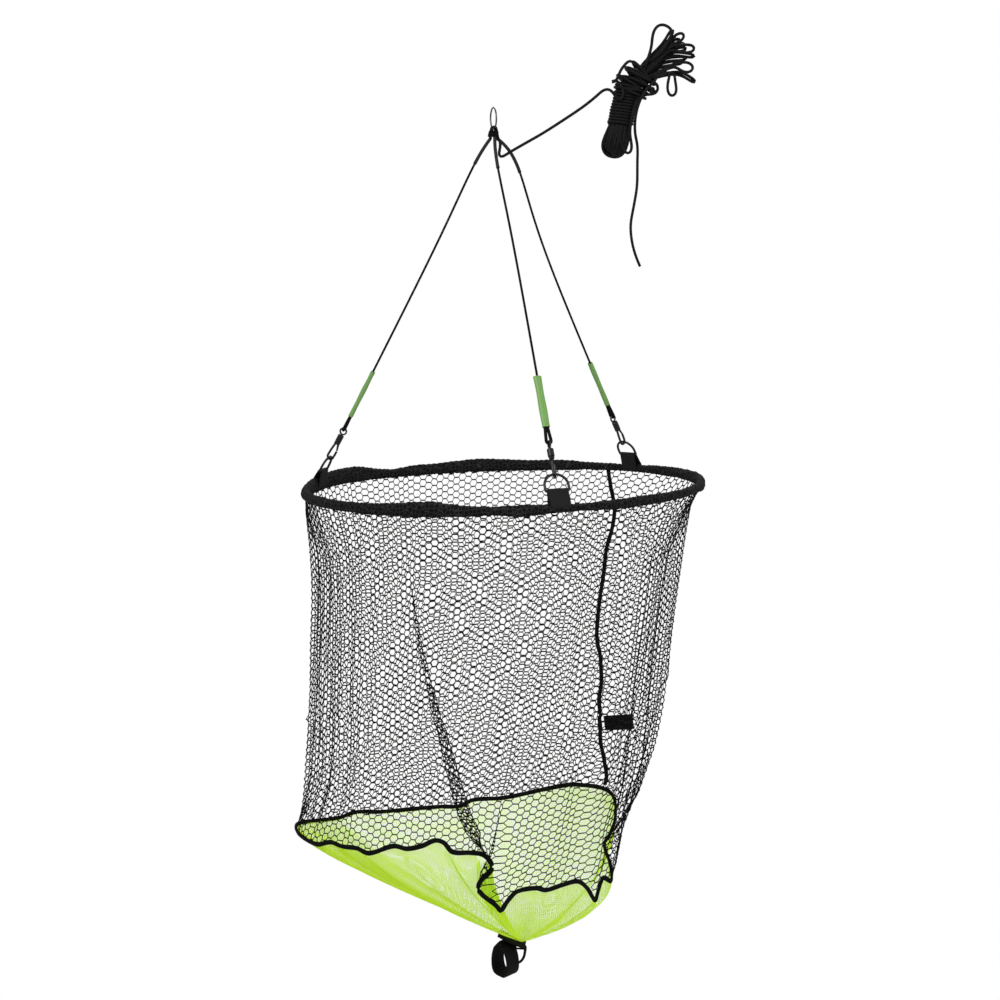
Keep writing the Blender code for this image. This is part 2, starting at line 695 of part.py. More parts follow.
def build_clip_bodies():
    """Build each clip's hook, slotted neck and hollow barrel as one casting."""
    bore = EYE_WIRE_RADIUS + GAP
    room = SHANK_HEAD_RADIUS + GAP
    height = BARREL_TOP - BARREL_BOTTOM
    profile = [
        (0.0, BARREL_FLOOR),
        (room, BARREL_FLOOR),
        (room, height - BARREL_LID),
        (bore, height - BARREL_LID),
        (bore, height),
        (BARREL_RADIUS - 0.0008, height),
        (BARREL_RADIUS, height - 0.0008),
        (BARREL_RADIUS, 0.0010),
        (BARREL_RADIUS - 0.0010, 0.0),
        (0.0, 0.0),
    ]
    neck_height = BARREL_BOTTOM + 0.001 - NECK_BOTTOM
    slot_width = GATE_THICKNESS + 2.0 * GAP
    side = Matrix.Rotation(HALF_TURN / 2.0, 4, "Y")
    for leg in LEGS:
        frame = clip_frame(leg)
        body = turned("clip_body_" + leg, profile, 16, frame @ shift(0.0, 0.0, BARREL_BOTTOM))
        body.matrix_world = frame
        for vertex in body.data.vertices:
            vertex.co.z += BARREL_BOTTOM
        neck_size = (2.0 * NECK_HALF_DEPTH, 2.0 * NECK_HALF_WIDTH, neck_height)
        neck = block("neck_" + leg, neck_size, frame @ shift(0.0, 0.0, NECK_BOTTOM + neck_height / 2.0))
        edge = neck.modifiers.new("edge", "BEVEL")
        edge.width = 0.0006
        edge.segments = 1
        hook = mesh_from_curve(route_curve("hook_" + leg, hook_points(), HOOK_RADIUS, frame=frame))
        slot_floor = GATE_PIN_OFFSET - GATE_END_RADIUS - 2.0 * GAP
        slot_size = (slot_width, 0.008, GATE_PIN_HEIGHT + GATE_END_RADIUS + 2.0 * GAP - NECK_BOTTOM + 0.004)
        slot_top = GATE_PIN_HEIGHT + GATE_END_RADIUS + 2.0 * GAP
        slot_place = shift(0.0, slot_floor + slot_size[1] / 2.0, slot_top - slot_size[2] / 2.0)
        slot = block("slot_" + leg, slot_size, frame @ slot_place)
        pin_place = shift(0.0, GATE_PIN_OFFSET, GATE_PIN_HEIGHT)
        hole = cylinder("pin_hole_" + leg, GATE_PIN_RADIUS + GAP, 4.0 * NECK_HALF_DEPTH, frame @ pin_place @ side, 12)
        combine(body, neck, "UNION")
        combine(body, hook, "UNION")
        combine(body, slot, "DIFFERENCE")
        combine(body, hole, "DIFFERENCE")
        shade_round(body)
        add_part(body, "dark_steel")


def build_clip_gates():
    """Build each clip's sprung gate and the pin that it turns on."""
    side = Matrix.Rotation(HALF_TURN / 2.0, 4, "Y") @ Matrix.Rotation(HALF_TURN / 2.0, 4, "Z")
    tip = Vector((HOOK_BEND_RADIUS + NOSE_FLARE, NOSE_TOP + GATE_TIP_CLEARANCE))
    pin = Vector((GATE_PIN_OFFSET, GATE_PIN_HEIGHT))
    along = (tip - pin).normalized()
    across = Vector((-along.y, along.x))
    reach = (tip - pin).length - GATE_TIP_WIDTH * 0.2
    for leg in LEGS:
        frame = clip_frame(leg) @ shift(0.0, GATE_PIN_OFFSET, GATE_PIN_HEIGHT)
        outline = []
        for k in range(9):
            angle = HALF_TURN * (0.5 + k / 8.0)
            spot = along * math.cos(angle) * GATE_END_RADIUS + across * math.sin(angle) * GATE_END_RADIUS
            outline.append(spot)
        outline.append(along * reach - across * GATE_TIP_WIDTH / 2.0)
        outline.append(along * reach + across * GATE_TIP_WIDTH / 2.0)
        hole = []
        for k in range(12):
            angle = FULL_TURN * k / 12.0
            hole.append(Vector((math.cos(angle), math.sin(angle))) * (GATE_PIN_RADIUS + GAP))
        turn = Matrix(((0, 0, 1, 0), (1, 0, 0, 0), (0, 1, 0, 0), (0, 0, 0, 1)))
        gate = outline_plate("clip_gate_" + leg, [outline, hole], GATE_THICKNESS, frame @ turn)
        add_part(gate, "dark_steel")
        rivet = cylinder("gate_pin_" + leg, GATE_PIN_RADIUS, 2.0 * NECK_HALF_DEPTH, frame @ side, 12)
        shade_round(rivet)
        add_part(rivet, "bright_steel")


def d_ring_points():
    """Return the closed path of a D-ring's wire in its own XZ plane."""
    straight = D_HEIGHT - D_HALF_WIDTH
    points = []
    for k in range(4):
        angle = HALF_TURN * 1.5 + HALF_TURN / 2.0 * k / 3.0
        points.append((D_HALF_WIDTH - D_CORNER_RADIUS + D_CORNER_RADIUS * math.cos(angle), 0.0,
                       D_CORNER_RADIUS + D_CORNER_RADIUS * math.sin(angle)))
    for k in range(D_ARCH_STEPS + 1):
        angle = HALF_TURN * k / D_ARCH_STEPS
        points.append((D_HALF_WIDTH * math.cos(angle), 0.0, straight + D_HALF_WIDTH * math.sin(angle)))
    for k in range(4):
        angle = HALF_TURN + HALF_TURN / 2.0 * k / 3.0
        points.append((-D_HALF_WIDTH + D_CORNER_RADIUS + D_CORNER_RADIUS * math.cos(angle), 0.0,
                       D_CORNER_RADIUS + D_CORNER_RADIUS * math.sin(angle)))
    return points


def build_d_rings():
    """Build the three D-rings, each with its bar at the frame's zero."""
    for leg in LEGS:
        ring = mesh_from_curve(route_curve("d_ring_" + leg, d_ring_points(), D_WIRE_RADIUS, resolution=1,
                                           cyclic=True, frame=leg_frame(leg)))
        shade_round(ring)
        add_part(ring, "dark_steel")


def strap_side(centre_low, centre_high, low, high):
    """Return the points of one edge of a strap laid round two bars and open under the lower one."""
    way = centre_high - centre_low
    up = way.normalized()
    right = Vector((up.y, -up.x))
    lean = math.asin((low - high) / way.length)
    touch = HALF_TURN / 2.0 - lean
    points = []
    for k in range(7):
        angle = touch + TAB_WRAP * (1.0 - k / 6.0)
        points.append(centre_low + (up * math.cos(angle) + right * math.sin(angle)) * low)
    for k in range(9):
        angle = touch * (1.0 - k / 4.0)
        points.append(centre_high + (up * math.cos(angle) + right * math.sin(angle)) * high)
    for k in range(7):
        angle = -touch - TAB_WRAP * k / 6.0
        points.append(centre_low + (up * math.cos(angle) + right * math.sin(angle)) * low)
    return points


def build_d_tabs():
    """Build the webbing tabs that lie over the hem and hold the D-rings' bars."""
    sag = TAB_WIDTH / 2.0 * math.tan(HALF_TURN / HOOP_STEPS)
    low = HEM_RADIUS + GAP + sag / 2.0
    high = D_WIRE_RADIUS + GAP
    for leg in LEGS:
        hoop_centre = Vector((-sag / 2.0, 0.0))
        bar = Vector((-BAR_INSIDE_HOOP, BAR_ABOVE_HOOP))
        inner = strap_side(hoop_centre, bar, low, high)
        outer = strap_side(hoop_centre, bar, low + TAB_THICKNESS, high + TAB_THICKNESS)
        radial = leg_radial(leg)
        tangent = leg_tangent(leg)
        up = Vector((0.0, 0.0, 1.0))
        frame = Matrix((radial, up, -tangent)).transposed().to_4x4()
        frame.translation = radial * HOOP_RADIUS + up * HOOP_HEIGHT
        tab = outline_plate("d_tab_" + leg, [outer + inner[::-1]], TAB_WIDTH, frame)
        add_part(tab, "black_webbing")


def build_hoop():
    """Build the hoop's rod and the fabric hem that covers it, open below for the net."""
    points = []
    for k in range(HOOP_STEPS):
        angle = FULL_TURN * k / HOOP_STEPS
        points.append((HOOP_RADIUS * math.cos(angle), HOOP_RADIUS * math.sin(angle), 0.0))
    centre = shift(0.0, 0.0, HOOP_HEIGHT)
    rod = mesh_from_curve(route_curve("hoop_rod", points, HOOP_ROD_RADIUS, resolution=1, cyclic=True, frame=centre))
    shade_round(rod)
    add_part(rod, "painted_rod")
    profile = []
    for radius, count, way in ((HEM_RADIUS, 9, 1.0), (HEM_INNER, 10, -1.0)):
        lip = math.asin(HEM_SLOT_HALF / radius)
        for k in range(count):
            share = k / (count - 1.0)
            angle = -HALF_TURN / 2.0 - way * lip - way * (FULL_TURN - 2.0 * lip) * share
            profile.append((HOOP_RADIUS + radius * math.cos(angle), radius * math.sin(angle)))
    profile.append(profile[0])
    hem = turned("hoop_hem", profile, HOOP_STEPS, centre)
    shade_round(hem)
    add_part(hem, "black_webbing")


def seam_depth(angle):
    """Return the seam's depth below the hoop at an angle in degrees."""
    count = len(SEAM_DEPTHS)
    angle = angle % 360.0
    index = max(i for i in range(count) if SEAM_DEPTHS[i][0] <= angle)
    before = SEAM_DEPTHS[(index - 1) % count]
    here = SEAM_DEPTHS[index]
    after = SEAM_DEPTHS[(index + 1) % count]
    later = SEAM_DEPTHS[(index + 2) % count]
    width = (after[0] - here[0]) % 360.0
    t = (angle - here[0]) / width
    slope_here = (after[1] - before[1]) / ((after[0] - before[0]) % 360.0) * width
    slope_after = (later[1] - here[1]) / ((later[0] - here[0]) % 360.0) * width
    square = t * t
    cube = square * t
    return ((2.0 * cube - 3.0 * square + 1.0) * here[1] + (cube - 2.0 * square + t) * slope_here
            + (3.0 * square - 2.0 * cube) * after[1] + (cube - square) * slope_after)


def seam_point(angle):
    """Return a point of the seam between wall and bottom at an angle in degrees."""
    turn = math.radians(angle)
    return Vector((SEAM_CENTRE_X + SEAM_HALF_WIDTH * math.cos(turn), SEAM_HALF_DEPTH * math.sin(turn),
                   HOOP_HEIGHT - seam_depth(angle)))


def seam_slant(angle):
    """Return how far along the wall a clearance square to the seam reaches, as a factor."""
    step = 3.0
    ahead = seam_point(angle + step)
    behind = seam_point(angle - step)
    run = math.hypot(ahead.x - behind.x, ahead.y - behind.y)
    return math.sqrt(1.0 + ((ahead.z - behind.z) / run) ** 2)


def wall_point(angle, share):
    """Return a point of the black wall: share 0 under the hoop and 1 at the seam."""
    turn = math.radians(angle)
    top = Vector((HOOP_RADIUS * math.cos(turn), HOOP_RADIUS * math.sin(turn), NET_TOP - WALL_COLLAR))
    foot = seam_point(angle)
    side = math.cos(turn)
    swell = WALL_BULGE_MEAN + WALL_BULGE_SIDE * side
    lean = max(0.0, share) ** (1.05 + 0.35 * side)
    outward = Vector((math.cos(turn), math.sin(turn), 0.0)) * swell * math.sin(HALF_TURN * lean)
    return top.lerp(foot, share) + outward


def bottom_point(angle, share):
    """Return a point of the green bottom: share 0 at the seam and 1 at the flat tip."""
    turn = math.radians(angle)
    top = seam_point(angle)
    foot = Vector((BOTTOM_TIP_X + BOTTOM_FLAT_RADIUS * math.cos(turn),
                   BOTTOM_TIP_Y + BOTTOM_FLAT_RADIUS * math.sin(turn), HOOP_HEIGHT - BOTTOM_DEPTH))
    point = top.lerp(foot, share)
    fullness = BOTTOM_FULLNESS + BOTTOM_FULLNESS_SIDE * math.cos(turn)
    point.z = top.z + (foot.z - top.z) * share ** fullness
    return point


def net_angles():
    """Return the angles, in degrees, of the hoop's corners."""
    return [360.0 * k / HOOP_STEPS for k in range(HOOP_STEPS)]


def sheet_from_rings(name, rings, close_last):
    """Return an open sheet of netting with a wall, from rings of points, top ring first."""
    mesh = bpy.data.meshes.new(name)
    work = bmesh.new()
    rows = [[work.verts.new(point) for point in ring] for ring in rings]
    count = len(rows[0])
    for upper, lower in zip(rows, rows[1:]):
        for k in range(count):
            after = (k + 1) % count
            work.faces.new((upper[k], lower[k], lower[after], upper[after]))
    if close_last:
        work.faces.new(list(reversed(rows[-1])))
    work.to_mesh(mesh)
    work.free()
    sheet = link_mesh(name, mesh)
    wall = sheet.modifiers.new("wall", "SOLIDIFY")
    wall.thickness = NET_WALL
    wall.offset = 0.0
    sheet.data.shade_smooth()
    return sheet


def build_bag():
    """Build the black wall, the seam binding and the green bottom."""
    angles = net_angles()
    rings = []
    for depth in (0.0, WALL_COLLAR):
        rings.append([Vector((HOOP_RADIUS * math.cos(math.radians(a)), HOOP_RADIUS * math.sin(math.radians(a)),
                              NET_TOP - depth)) for a in angles])
    clearance = BINDING_RADIUS + BINDING_CLEARANCE
    for row in range(1, WALL_RINGS + 1):
        ring = []
        for angle in angles:
            whole = (wall_point(angle, 0.0) - seam_point(angle)).length
            last = 1.0 - clearance * seam_slant(angle) / whole
            ring.append(wall_point(angle, last * row / WALL_RINGS))
        rings.append(ring)
    add_part(sheet_from_rings("upper_net", rings, False), "black_net")

    seam = [seam_point(angle) for angle in angles]
    binding = mesh_from_curve(route_curve("seam_binding", seam, BINDING_RADIUS, resolution=1, cyclic=True))
    shade_round(binding)
    add_part(binding, "black_webbing")

    rings = []
    for row in range(BOTTOM_RINGS + 1):
        ring = []
        for angle in angles:
            first = bottom_share_below(angle, clearance * seam_slant(angle))
            ring.append(bottom_point(angle, first + (1.0 - first) * (row / BOTTOM_RINGS) ** 1.3))
        rings.append(ring)
    add_part(sheet_from_rings("lower_net", rings, True), "green_net")


def bottom_share_below(angle, distance):
    """Return the share of the green bottom that lies within a distance of the seam."""
    share = 0.0
    top = seam_point(angle)
    while (bottom_point(angle, share) - top).length < distance:
        share += 0.0005
    return share


def wall_normal(angle, share):
    """Return the outward direction of the wall at a point."""
    across = wall_point(angle + 1.0, share) - wall_point(angle - 1.0, share)
    down = wall_point(angle, share + 0.01) - wall_point(angle, share - 0.01)
    return down.cross(across).normalized()


def side_seam_angle(share):
    """Return the side seam's angle, in degrees, at a share down the wall: it drifts forwards."""
    return SIDE_SEAM_TOP_ANGLE - SIDE_SEAM_DRIFT * share - SIDE_SEAM_LOW_DRIFT * share ** 3


def side_seam_depth_share(depth):
    """Return the share down the wall, at the side seam, of a depth below the hoop."""
    share = depth / seam_depth(SIDE_SEAM_TOP_ANGLE)
    foot = seam_point(side_seam_angle(share)).z
    top = wall_point(SIDE_SEAM_TOP_ANGLE, 0.0).z
    return (top - (HOOP_HEIGHT - depth)) / (top - foot)


def build_side_seam():
    """Build the bound seam down the outside of the wall and the webbing tab sewn to it."""
    away = NET_WALL / 2.0 + GAP + SIDE_SEAM_RADIUS
    points = []
    foot_angle = side_seam_angle(1.0)
    whole = (wall_point(foot_angle, 0.0) - seam_point(foot_angle)).length
    last = 1.0 - (BINDING_RADIUS + BINDING_CLEARANCE + SIDE_SEAM_RADIUS) * seam_slant(foot_angle) / whole
    for k in range(SIDE_SEAM_POINTS):
        share = 0.004 + (last - 0.004) * k / (SIDE_SEAM_POINTS - 1.0)
        angle = side_seam_angle(share)
        points.append(wall_point(angle, share) + wall_normal(angle, share) * away)
    seam = mesh_from_curve(route_curve("side_seam", points, SIDE_SEAM_RADIUS, resolution=1))
    shade_round(seam)
    add_part(seam, "black_webbing")

    share = side_seam_depth_share(SIDE_TAB_DEPTH)
    angle = side_seam_angle(share)
    normal = wall_normal(angle, share)
    above = wall_point(side_seam_angle(share - 0.01), share - 0.01)
    below = wall_point(side_seam_angle(share + 0.01), share + 0.01)
    along = (below - above).cross(normal).normalized()
    half_thick = SIDE_TAB_WEBBING + SIDE_TAB_LOOP_HALF
    root = wall_point(angle, share) + normal * (NET_WALL / 2.0 + 2.0 * GAP + half_thick)
    root += along * (SIDE_SEAM_RADIUS + GAP + SIDE_TAB_LENGTH / 2.0)
    frame = Matrix((along, normal, along.cross(normal))).transposed().to_4x4()
    frame.translation = root
    outer = racetrack(SIDE_TAB_LENGTH, half_thick)
    inner = racetrack(SIDE_TAB_LENGTH - 2.0 * SIDE_TAB_WEBBING, SIDE_TAB_LOOP_HALF)
    tab = outline_plate("side_tab", [outer, inner], SIDE_TAB_WIDTH, frame)
    add_part(tab, "black_webbing")


def racetrack(length, half):
    """Return a closed outline with straight sides and round ends."""
    points = []
    for end in (1.0, -1.0):
        for k in range(7):
            angle = HALF_TURN * (k / 6.0 - 0.5) + (0.0 if end > 0.0 else HALF_TURN)
            points.append(Vector((end * (length / 2.0 - half) + half * math.cos(angle), half * math.sin(angle))))
    return points


def strap_outlines():
    """Return the outer and inner outline of the carry strap's loop, hanging from its top."""
    loops = []
    middle = []
    for k in range(STRAP_STEPS):
        angle = FULL_TURN * k / STRAP_STEPS
        across = STRAP_HALF_ACROSS * math.sin(angle) * (1.0 - STRAP_FLARE * math.cos(angle))
        middle.append(Vector((across, -STRAP_LENGTH / 2.0 * (1.0 - math.cos(angle)))))
    for side in (1.0, -1.0):
        loop = []
        for k in range(STRAP_STEPS):
            way = (middle[(k + 1) % STRAP_STEPS] - middle[k - 1]).normalized()
            outward = Vector((-way.y, way.x))
            loop.append(middle[k] + outward * side * STRAP_THICKNESS / 2.0)
        loops.append(loop)
    return loops


def strap_top_radius():
    """Return the radius of the strap's outer face where it hangs."""
    across = STRAP_HALF_ACROSS * (1.0 - STRAP_FLARE)
    return across ** 2 / (STRAP_LENGTH / 2.0) + STRAP_THICKNESS / 2.0


def anchor_frame():
    """Return the frame in the middle of the webbing patch under the tip, turned with it."""
    top = HOOP_HEIGHT - BOTTOM_DEPTH - NET_WALL / 2.0 - GAP
    return shift(BOTTOM_TIP_X, BOTTOM_TIP_Y, top - ANCHOR_THICKNESS / 2.0) @ Matrix.Rotation(ANCHOR_YAW, 4, "Z")


def strap_frame():
    """Return the frame that the carry strap swings in: zero in its top bend, Y along the hinge."""
    drop = ANCHOR_THICKNESS / 2.0 + GAP + strap_top_radius()
    return anchor_frame() @ shift(STRAP_SHIFT, 0.0, -drop) @ Matrix.Rotation(STRAP_YAW, 4, "Z")


def ear_eye_frame():
    """Return the frame of the hole in the patch's ear, where the small cord ring hangs."""
    drop = ANCHOR_THICKNESS / 2.0 + ANCHOR_EAR_DROP
    return anchor_frame() @ shift(ANCHOR_LENGTH / 2.0 - ANCHOR_EAR_WIDTH / 2.0 - ANCHOR_EAR_INSET, 0.0, -drop)


def build_bottom_strap():
    """Build the webbing patch under the tip, the carry strap and the small cord ring."""
    lay = Matrix.Rotation(HALF_TURN / 2.0, 4, "X")
    anchor = block("strap_anchor", (ANCHOR_LENGTH, ANCHOR_WIDTH, ANCHOR_THICKNESS), anchor_frame())
    edge = anchor.modifiers.new("edge", "BEVEL")
    edge.width = 0.0008
    edge.segments = 2
    rooted = ANCHOR_THICKNESS / 2.0
    ear_size = (ANCHOR_EAR_WIDTH, ANCHOR_EAR_THICKNESS, ANCHOR_EAR_HEIGHT + rooted)
    ear_place = shift(0.0, 0.0, ANCHOR_EAR_DROP - (ANCHOR_EAR_HEIGHT - rooted) / 2.0)
    ear = block("anchor_ear", ear_size, ear_eye_frame() @ ear_place)
    hole_radius = CORD_RING_CORD + ANCHOR_EYE_CLEARANCE
    hole = cylinder("ear_hole", hole_radius, 4.0 * ANCHOR_EAR_THICKNESS, ear_eye_frame() @ lay, 12)
    combine(anchor, ear, "UNION")
    combine(anchor, hole, "DIFFERENCE")
    add_part(anchor, "black_webbing")

    rise = strap_top_radius() - STRAP_THICKNESS / 2.0
    lifted = [[point + Vector((0.0, rise)) for point in loop] for loop in strap_outlines()]
    strap = outline_plate("carry_strap", lifted, STRAP_WIDTH, strap_frame() @ lay)
    add_part(strap, "black_webbing")

    points = []
    for k in range(16):
        angle = FULL_TURN * k / 16.0
        drop = CORD_RING_LENGTH / 2.0 * (1.0 - math.cos(angle))
        points.append((0.0, CORD_RING_HALF_ACROSS * math.sin(angle), -drop))
    ring = mesh_from_curve(route_curve("cord_ring", points, CORD_RING_CORD, resolution=1, cyclic=True,
                                       frame=ear_eye_frame()))
    shade_round(ring)
    add_part(ring, "black_cord")


def hank_outer(height):
    """Return the half-width of a hank's outermost loop at a height up its own axis."""
    if height < HANK_BULB_RADIUS:
        return math.sqrt(max(0.0, HANK_BULB_RADIUS ** 2 - (HANK_BULB_RADIUS - height) ** 2))
    if height > HANK_LENGTH - HANK_TOP_RADIUS:
        rest = height - (HANK_LENGTH - HANK_TOP_RADIUS)
        return math.sqrt(max(0.0, HANK_TOP_RADIUS ** 2 - rest ** 2))
    waist = waist_half_width()
    if height < HANK_WAIST_START:
        return ease(height, HANK_BULB_RADIUS, HANK_WAIST_START, HANK_BULB_RADIUS, waist)
    if height > HANK_WAIST_END:
        return ease(height, HANK_WAIST_END, HANK_TOP_START, waist, HANK_TOP_RADIUS)
    return waist


def waist_half_width():
    """Return the half-width of the outermost loop where the wraps draw the hank in."""
    return NEST_STEP * (NEST_LOOPS + 0.3)


def ease(value, start, end, low, high):
    """Return a smooth step from low to high as a value goes from start to end."""
    share = min(1.0, max(0.0, (value - start) / (end - start)))
    return low + (high - low) * (1.0 - math.cos(HALF_TURN * share)) / 2.0


def hank_heights():
    """Return one loop's heights and sides: up the right run, over the top and down the left run."""
    spots = []
    low_end = HANK_BULB_RADIUS
    high_start = HANK_LENGTH - HANK_TOP_RADIUS
    for k in range(HANK_BIGHT_POINTS // 2):
        angle = HALF_TURN / 2.0 * (k + 0.5) / (HANK_BIGHT_POINTS / 2.0)
        spots.append((HANK_BULB_RADIUS * (1.0 - math.cos(angle)), 1.0))
    for share in HANK_RUN_SHARES:
        spots.append((low_end + (high_start - low_end) * share, 1.0))
    for k in range(HANK_BIGHT_POINTS // 2):
        angle = HALF_TURN / 2.0 * (k + 0.5) / (HANK_BIGHT_POINTS / 2.0)
        spots.append((high_start + HANK_TOP_RADIUS * math.sin(angle), 1.0))
    mirrored = [(height, -side) for height, side in reversed(spots)]
    return spots + mirrored


def loop_direction(height, side):
    """Return the inward normal of the outermost loop at a height on one side."""
    small = 0.0002
    low = max(0.0, height - small)
    high = min(HANK_LENGTH, height + small)
    slope = (hank_outer(high) - hank_outer(low)) / (high - low)
    length = math.hypot(1.0, slope)
    return Vector((slope / length, -side / length))


def nest_offset(turns):
    """Return how far inside the outermost loop the rope lies after a number of loops."""
    loops = HANK_LAYERS * NEST_LOOPS
    if turns > loops:
        return (loops - turns) * NEST_STEP
    period = 2.0 * NEST_LOOPS
    phase = turns % period
    inside = phase if phase <= NEST_LOOPS else period - phase
    return inside * NEST_STEP


def layer_place(turns):
    """Return the depth of the rope's layer, which climbs round the foot of the hank."""
    place = 0.0
    for change in range(1, HANK_LAYERS):
        place += ease(turns, change * NEST_LOOPS - 0.12, change * NEST_LOOPS + 0.12, 0.0, 1.0)
    return place


def hank_local(turns, height, side):
    """Return a point of the loops: up the hank, across it and through its depth."""
    wider = 1.0 + NEST_FAN * ease(height, HANK_WAIST_END, HANK_LENGTH, 0.0, 1.0)
    inward = loop_direction(height, side) * nest_offset(turns) * wider
    up = height + inward.x
    across = side * hank_outer(height) + inward.y
    layer = layer_place(turns)
    top = ease(up, HANK_WAIST_END, HANK_LENGTH, 0.0, 1.0)
    foot = ease(up, 0.0, HANK_WAIST_START, 1.0, 0.0)
    middle = (HANK_LAYERS - 1) / 2.0
    depth = (layer - middle) * LAYER_STEP * (1.0 + HANK_FAN * (top + foot))
    low = min(HANK_LAYERS - 1, int(layer))
    high = min(HANK_LAYERS - 1, low + 1)
    splay = HANK_SPLAY[low] + (HANK_SPLAY[high] - HANK_SPLAY[low]) * (layer - low)
    across += splay * top * top
    return Vector((up, across, depth))


def wrap_local(turns):
    """Return a point of the wraps: up the hank, across it and through its depth."""
    angle = WRAP_START_ANGLE + FULL_TURN * turns
    power = 2.0 / WRAP_SQUARENESS
    cosine = math.cos(angle)
    sine = math.sin(angle)
    across = WRAP_HALF_WIDTH * math.copysign(abs(cosine) ** power, cosine)
    depth = WRAP_HALF_DEPTH * math.copysign(abs(sine) ** power, sine)
    return Vector((WRAP_START + WRAP_PITCH * turns, across, depth))


def even_wrap(count):
    """Return the wraps' points, evenly spaced round each turn."""
    dense = [wrap_local(k / 400.0) for k in range(int(WRAP_TURNS * 400) + 1)]
    return even_points(dense, count)


def hank_to_world(local):
    """Return a point of the hank in the world, along its gently leaning axis."""
    foot = Vector(HANK_FOOT)
    straight = min(local.x, HANK_BEND_START)
    lean = HANK_LEAN + HANK_BEND * (max(local.x, HANK_BEND_START) - HANK_BEND_START)
    along = straight * math.sin(HANK_LEAN) + (math.cos(HANK_LEAN) - math.cos(lean)) / HANK_BEND
    rise = straight * math.cos(HANK_LEAN) + (math.sin(lean) - math.sin(HANK_LEAN)) / HANK_BEND
    side = Vector((math.cos(lean), 0.0, -math.sin(lean)))
    return foot + Vector((along, 0.0, rise)) + side * local.y + Vector((0.0, -local.z, 0.0))


def bezier(a, b, c, d, count):
    """Return points of a smooth turn from a to d, without its two ends."""
    points = []
    for k in range(1, count + 1):
        t = k / (count + 1.0)
        s = 1.0 - t
        points.append(a * s ** 3 + b * 3.0 * s * s * t + c * 3.0 * s * t * t + d * t ** 3)
    return points


def hank_path():
    """Return the hank's whole path in its own frame: in from the tail, the loops, the wraps, out."""
    heights = hank_heights()
    loops = HANK_LAYERS * NEST_LOOPS
    count = len(heights)
    first = HANK_BIGHT_POINTS // 2
    spots = []
    for k in range(first, loops * count + first):
        height, side = heights[k % count]
        spots.append(hank_local(k / count, height, side))
    tail = Vector((*TAIL_MEETS_HANK, spots[0].z))
    into = bezier(tail, tail + Vector(TAIL_TURN), spots[0] - Vector(FIRST_LOOP_TURN), spots[0], TAIL_TURN_POINTS)
    last = spots[-1]
    wraps = even_wrap(int(WRAP_TURNS * WRAP_POINTS) + 1)
    begin = wraps[0]
    route = smooth_curve([spots[-2], last] + [Vector(spot) for spot in TURN_TO_WRAPS] + [begin, wraps[1]])
    first_stretch = (last - spots[-2]).length + ROPE_RADIUS
    last_stretch = (wraps[1] - begin).length + ROPE_RADIUS
    middle = part_of_route(route, first_stretch, route_length(route) - last_stretch)
    turn = even_points(middle, TURN_TO_WRAPS_POINTS)
    out = wraps[-1]
    leave = [out + Vector(step) for step in WRAPS_TO_LEAD]
    leave.append(leave[-1] + (leave[-1] - leave[-2]).normalized() * 2.0 * ROPE_RADIUS)
    lead_in = tail - Vector(TAIL_TURN).normalized() * 2.0 * ROPE_RADIUS
    return [lead_in, tail] + into + spots + turn + wraps + leave


def least_gap(points, radius):
    """Return the least gap of a cord to itself, between stretches that aren't neighbours."""
    segments = list(zip(points, points[1:]))
    middles = [(a + b) / 2.0 for a, b in segments]
    halves = [(b - a).length / 2.0 for a, b in segments]
    best = 1.0
    for i in range(len(segments)):
        apart = 0.0
        for j in range(i + 1, len(segments)):
            if apart > 6.0 * radius and (middles[i] - middles[j]).length - halves[i] - halves[j] < best:
                best = min(best, segment_distance(*segments[i], *segments[j]))
            apart += 2.0 * halves[j]
    return best - 2.0 * radius


def segment_distance(a, b, c, d):
    """Return the least distance between two straight segments."""
    u = b - a
    v = d - c
    w = a - c
    uu = u.dot(u)
    uv = u.dot(v)
    vv = v.dot(v)
    uw = u.dot(w)
    vw = v.dot(w)
    spread = uu * vv - uv * uv
    s = min(1.0, max(0.0, (uv * vw - vv * uw) / spread)) if spread > 1e-14 else 0.0
    t = min(1.0, max(0.0, (uv * s + vw) / vv))
    s = min(1.0, max(0.0, (uv * t - uw) / uu))
    return ((a + u * s) - (c + v * t)).length


def rope_points():
    """Return the lead's, the hank's and the tail's points in the world."""
    hank = [hank_to_world(spot) for spot in hank_path()]
    exit_point = Vector((LEAD_EXIT_RADIUS * math.cos(LEAD_EXIT_ANGLE), LEAD_EXIT_RADIUS * math.sin(LEAD_EXIT_ANGLE),
                         LASHING_BOTTOM - GAP))
    out = (hank[-1] - hank[-2]).normalized()
    lead_end = hank[-1] + out * GAP
    straight = lead_end + out * 2.0 * ROPE_RADIUS
    below = exit_point - Vector((0.0, 0.0, 2.0 * ROPE_RADIUS))
    knots = [exit_point, below] + [Vector(p) for p in LEAD_ROUTE] + [straight, lead_end]
    lead = smooth_route(knots, ROPE_SPACING)
    back = (hank[0] - hank[1]).normalized()
    tail_start = hank[0] + back * GAP
    knots = [tail_start, tail_start + back * 2.0 * ROPE_RADIUS] + [Vector(p) for p in TAIL_ROUTE] + [Vector(TAIL_END)]
    tail = smooth_route(knots, ROPE_SPACING)
    return lead, hank, tail


